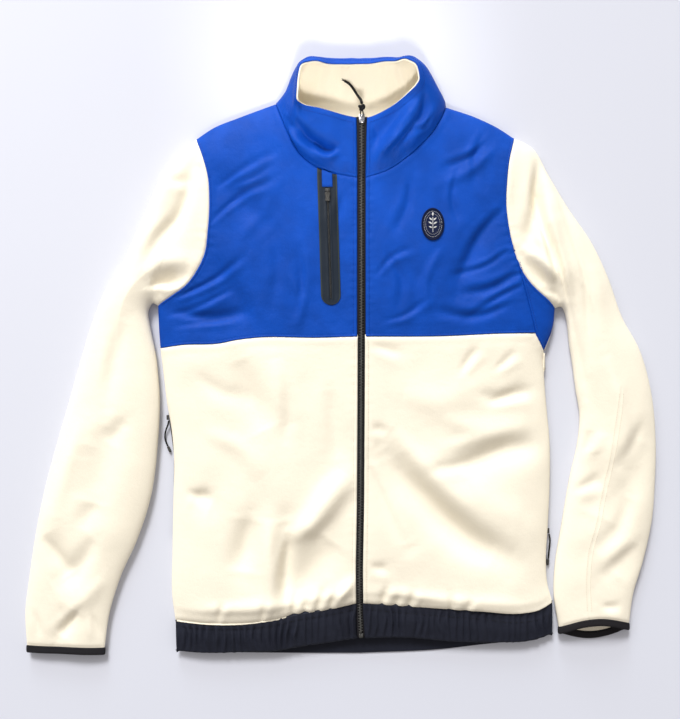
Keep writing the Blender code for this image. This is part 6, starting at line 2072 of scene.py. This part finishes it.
class JACKET_OT_side_pulls(JacketStep, bpy.types.Operator):
    """Side pocket zips, their sliders and cord pulls"""

    bl_idname = "jacket.side_pulls"
    bl_label = "Side pockets"

    def make(self):
        for side in SIDES:
            for name, key in ((f"side_zip_{side}", "zip_tape_black"), (f"side_slider_{side}", "moulded_black")):
                for slot in bpy.data.objects[name].material_slots:
                    slot.material = finish(key)
            line = route(LOOP[side], 48)
            name = f"side_pull_cord_{side}"
            cord = tube(f"{name}_braid", line, LOOP_RADIUS, "cord_black", name, relief=braid(0.0026, 6))
            along = (line[-1] - line[-6]) / np.linalg.norm(line[-1] - line[-6])
            path = [line[-1] + along * (SEAM_GAP + GRIP_LENGTH * share) for share in np.linspace(0, 1, 36)]
            name = f"side_pull_grip_{side}"
            grip = tube(f"{name}_moulded", path, self.grip_size, "moulded_black", name, sides=16)
            tuple(placed([LOOP[side][0]])[0])
            length_of(line)
            [tuple(p) for p in placed(line)]  # fmt: skip

    def grip_size(self, share):
        """A short moulded end: rounded at its tips, with three shallow grooves."""
        ends = math.sqrt(max(0.0, 1 - abs(2 * share - 1) ** 5))
        return GRIP_RADIUS * (0.35 + 0.65 * ends) * (1 - 0.1 * (math.cos(2 * math.pi * share * 4) > 0.6))


class JACKET_OT_sewing(JacketStep, bpy.types.Operator):
    """Topstitching beside every seam"""

    bl_idname = "jacket.sewing"
    bl_label = "Stitching"

    def make(self):
        self.shell()
        self.fleece()
        self.cuffs()
        self.hem()
        self.collar()

    def shell(self):
        """Beside the yoke seams, the armholes, the zip and the wrapped side."""
        shares = np.linspace(0.02, 0.98, 60)
        upper = np.linspace(armhole_share(WRAP_ROW) + 0.01, 0.98, 50)
        lower = np.linspace(0.03, armhole_share(WRAP_ROW) - 0.06, 30)
        right, left, wrap = "front_yoke_right", "front_yoke_left", "side_wrap"
        seams_of_shell = [
            (right, YOKE_SEAM["right"], shares, 1), (left, YOKE_SEAM["left"], shares, -1),
            (right, ARMHOLE["right"], shares, -1), (left, ARMHOLE["left"], upper, 1),
        ]  # fmt: skip
        paths = [self.beside(*seam) for seam in seams_of_shell]
        foot, head = YOKE_SEAM_AT_ZIP + 0.003, NECK_AT_ZIP + 0.002
        for side in SIDES:
            line = zip_edge_line(side, ZIP_HALF_GAP_SHELL + ZIP_STITCH_IN, foot, head)
            paths.append(on_face(surface(f"front_yoke_{side}"), line))
        paths.append(self.beside(wrap, wrap_seam(), np.linspace(0.04, 0.93, 30), -1))
        paths.append(self.beside(wrap, ARMHOLE["left"], lower, 1))
        stitches("stitches_shell", paths, "blue_thread", "blue_shell")

    def beside(self, face, table, shares, sign):
        return on_face(surface(face), offset_line(edge(table)(shares), sign * SHELL_STITCH_IN))

    def fleece(self):
        """Beside the zip, and twice down the left sleeve."""
        paths = []
        foot, head = HEM_SEAM["right"][-1][1] + 0.004, YOKE_SEAM_AT_ZIP - 0.003
        for side in SIDES:
            line = zip_edge_line(side, ZIP_HALF_GAP_FLEECE + ZIP_STITCH_IN, foot, head)
            paths.append(on_face(surface(f"front_lower_{side}"), line))
        stitches("stitches_front_fleece", paths, "cream_thread", "cream_fleece")
        sleeve = surface("sleeve_left_top")
        line = edge(SLEEVE_SEAM)(np.linspace(0.02, 0.96, 80))
        double = [on_face(sleeve, offset_line(line, gap)) for gap in (-0.0026, 0.0026)]
        stitches("stitches_sleeve_left", double, "cream_thread", "cream_fleece")

    def cuffs(self):
        paths = []
        for side in SIDES:
            ring = cuff_binding(side)[3]
            paths.append((ring[: len(ring) // 2 + 1] + (0, 0.0006, 0.0001))[6:-6])
        stitches("stitches_cuffs", paths, "black_thread", "black_binding", 0.002, 0.00036)

    def hem(self):
        paths = []
        for side in SIDES:
            line = edge(HEM_SEAM[side])(np.linspace(0.03, 0.985, 120)) - (0, 0.0072)
            paths.append(on_face(surface(f"hem_band_front_{side}"), line))
        stitches("stitches_hem", paths, "black_thread", "navy_elastic", 0.0026, 0.00034)

    def collar(self):
        """Two rows down the collar beside the zip, and one round it a little below its top edge."""
        grid = collar_grids()[0]
        paths = []
        for facing in (grid, grid[:, ::-1]):
            path = []
            for line in facing[4:-6, :14]:
                path.append([np.interp(ZIP_STITCH_IN, distances(line), line[:, i]) for i in range(3)])
            paths.append(np.asarray(path) + (0, 0, 0.0001))
        top = grid[-9] - normals_of(grid)[-9] * 0.0002
        paths.append(top[3:-3])
        stitches("stitches_collar", paths, "blue_thread", "blue_shell")


LAMP_SIZE = 0.9
LAMP_ANGLE = math.radians(16)
LAMP_SOFTNESS = 0.15


class JACKET_OT_stage(JacketStep, bpy.types.Operator):
    """Pale floor, soft light from beyond the collar and the camera straight above"""

    bl_idname = "jacket.stage"
    bl_label = "Stage"

    def make(self):
        scene, values = bpy.context.scene, bpy.context.scene.jacket_stage
        mesh = bpy.data.meshes.new("floor")
        half = 3.0
        mesh.from_pydata([(-half, -half, 0), (half, -half, 0), (half, half, 0), (-half, half, 0)], [], [(0, 1, 2, 3)])
        floor = bpy.data.objects.new("floor", mesh)
        floor.location.z = -0.0002
        look = Look("floor_paper")
        tone = look.mixed(look.lumps(0.25), tinted(values.floor, 0.985), tinted(values.floor, 1.0))
        look.set(Base_Color=tone, Roughness=0.85, Specular_IOR_Level=0.2)
        mesh.materials.append(look.material)
        scene.collection.objects.link(floor)
        floor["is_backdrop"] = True
        self.lamp("key_light", "AREA", (-0.7, 0.95, 1.1), values.key_power, (1.0, 0.99, 0.97))
        self.lamp("slant_light", "SUN", (-0.24, 1.05, 0.78), values.slant, (1.0, 0.985, 0.96))
        self.lamp("window_light", "SUN", (-0.12, 1.00, 0.27), values.window, (0.85, 0.95, 1.0))
        self.lamp("neck_light", "SPOT", (0.03, -0.24, 0.7), values.neck_power, (1.0, 0.97, 0.92), (0.0, 0.335, 0.03))
        world = bpy.data.worlds.new("studio")
        world.use_nodes = True
        sky = world.node_tree.nodes["Background"].inputs
        sky["Color"].default_value = (1.0, 0.95, 0.905, 1)
        sky["Strength"].default_value = values.sky
        scene.world = world
        scene.view_settings.view_transform = "Standard"
        camera = bpy.data.cameras.new("camera")
        camera.sensor_fit = "HORIZONTAL"
        camera.lens = camera.sensor_width * values.camera_height / values.view_width
        seat = bpy.data.objects.new("camera", camera)
        seat.location = (-0.0007, -0.0006, values.camera_height)
        scene.collection.objects.link(seat)
        scene.camera = seat

    def lamp(self, name, kind, place, power, colour, aim=(0, 0, 0)):
        light = bpy.data.lights.new(name, kind)
        light.energy = power
        light.color = colour
        if kind == "AREA":
            light.size = LAMP_SIZE
        elif kind == "SPOT":
            light.spot_size, light.spot_blend, light.shadow_soft_size = LAMP_ANGLE, 1.0, LAMP_SOFTNESS
        else:
            light.angle = LAMP_ANGLE
        lamp = bpy.data.objects.new(name, light)
        lamp.location = place
        lamp.rotation_euler = (Vector(place) - Vector(aim)).to_track_quat("Z", "Y").to_euler()
        bpy.context.scene.collection.objects.link(lamp)


STEPS = (
    JACKET_OT_lower,
    JACKET_OT_yokes,
    JACKET_OT_hem,
    JACKET_OT_sleeves,
    JACKET_OT_collar,
    JACKET_OT_zip,
    JACKET_OT_chest_pocket,
    JACKET_OT_badge,
    JACKET_OT_side_pulls,
    JACKET_OT_sewing,
    JACKET_OT_stage,
)


class JACKET_PT_steps(bpy.types.Panel):
    """Lists the jacket's steps, sizes and colours"""

    bl_idname = "JACKET_PT_steps"
    bl_label = "Fleece jacket"
    bl_space_type = "VIEW_3D"
    bl_region_type = "UI"
    bl_category = "Jacket"

    def draw(self, context):
        for step in STEPS:
            self.layout.operator(step.bl_idname)
        for name in GROUPS:
            box = self.layout.box()
            group = getattr(context.scene, name)
            for key in group.__annotations__:
                box.prop(group, key)


GROUPS = {"jacket_sizes": JacketSizes, "jacket_colours": JacketColours, "jacket_stage": JacketStage}
CLASSES = (*GROUPS.values(), *STEPS, JACKET_PT_steps)


def register():
    for kind in CLASSES:
        bpy.utils.register_class(kind)
    for name, group in GROUPS.items():
        setattr(bpy.types.Scene, name, PointerProperty(type=group))


def unregister():
    for name in GROUPS:
        delattr(bpy.types.Scene, name)
    for kind in reversed(CLASSES):
        bpy.utils.unregister_class(kind)


def main():
    register()
    for step in STEPS:
        group, name = step.bl_idname.split(".")
        getattr(getattr(bpy.ops, group), name)()
    box = [list(corner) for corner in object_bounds()]


if __name__ == "__main__":
    main()
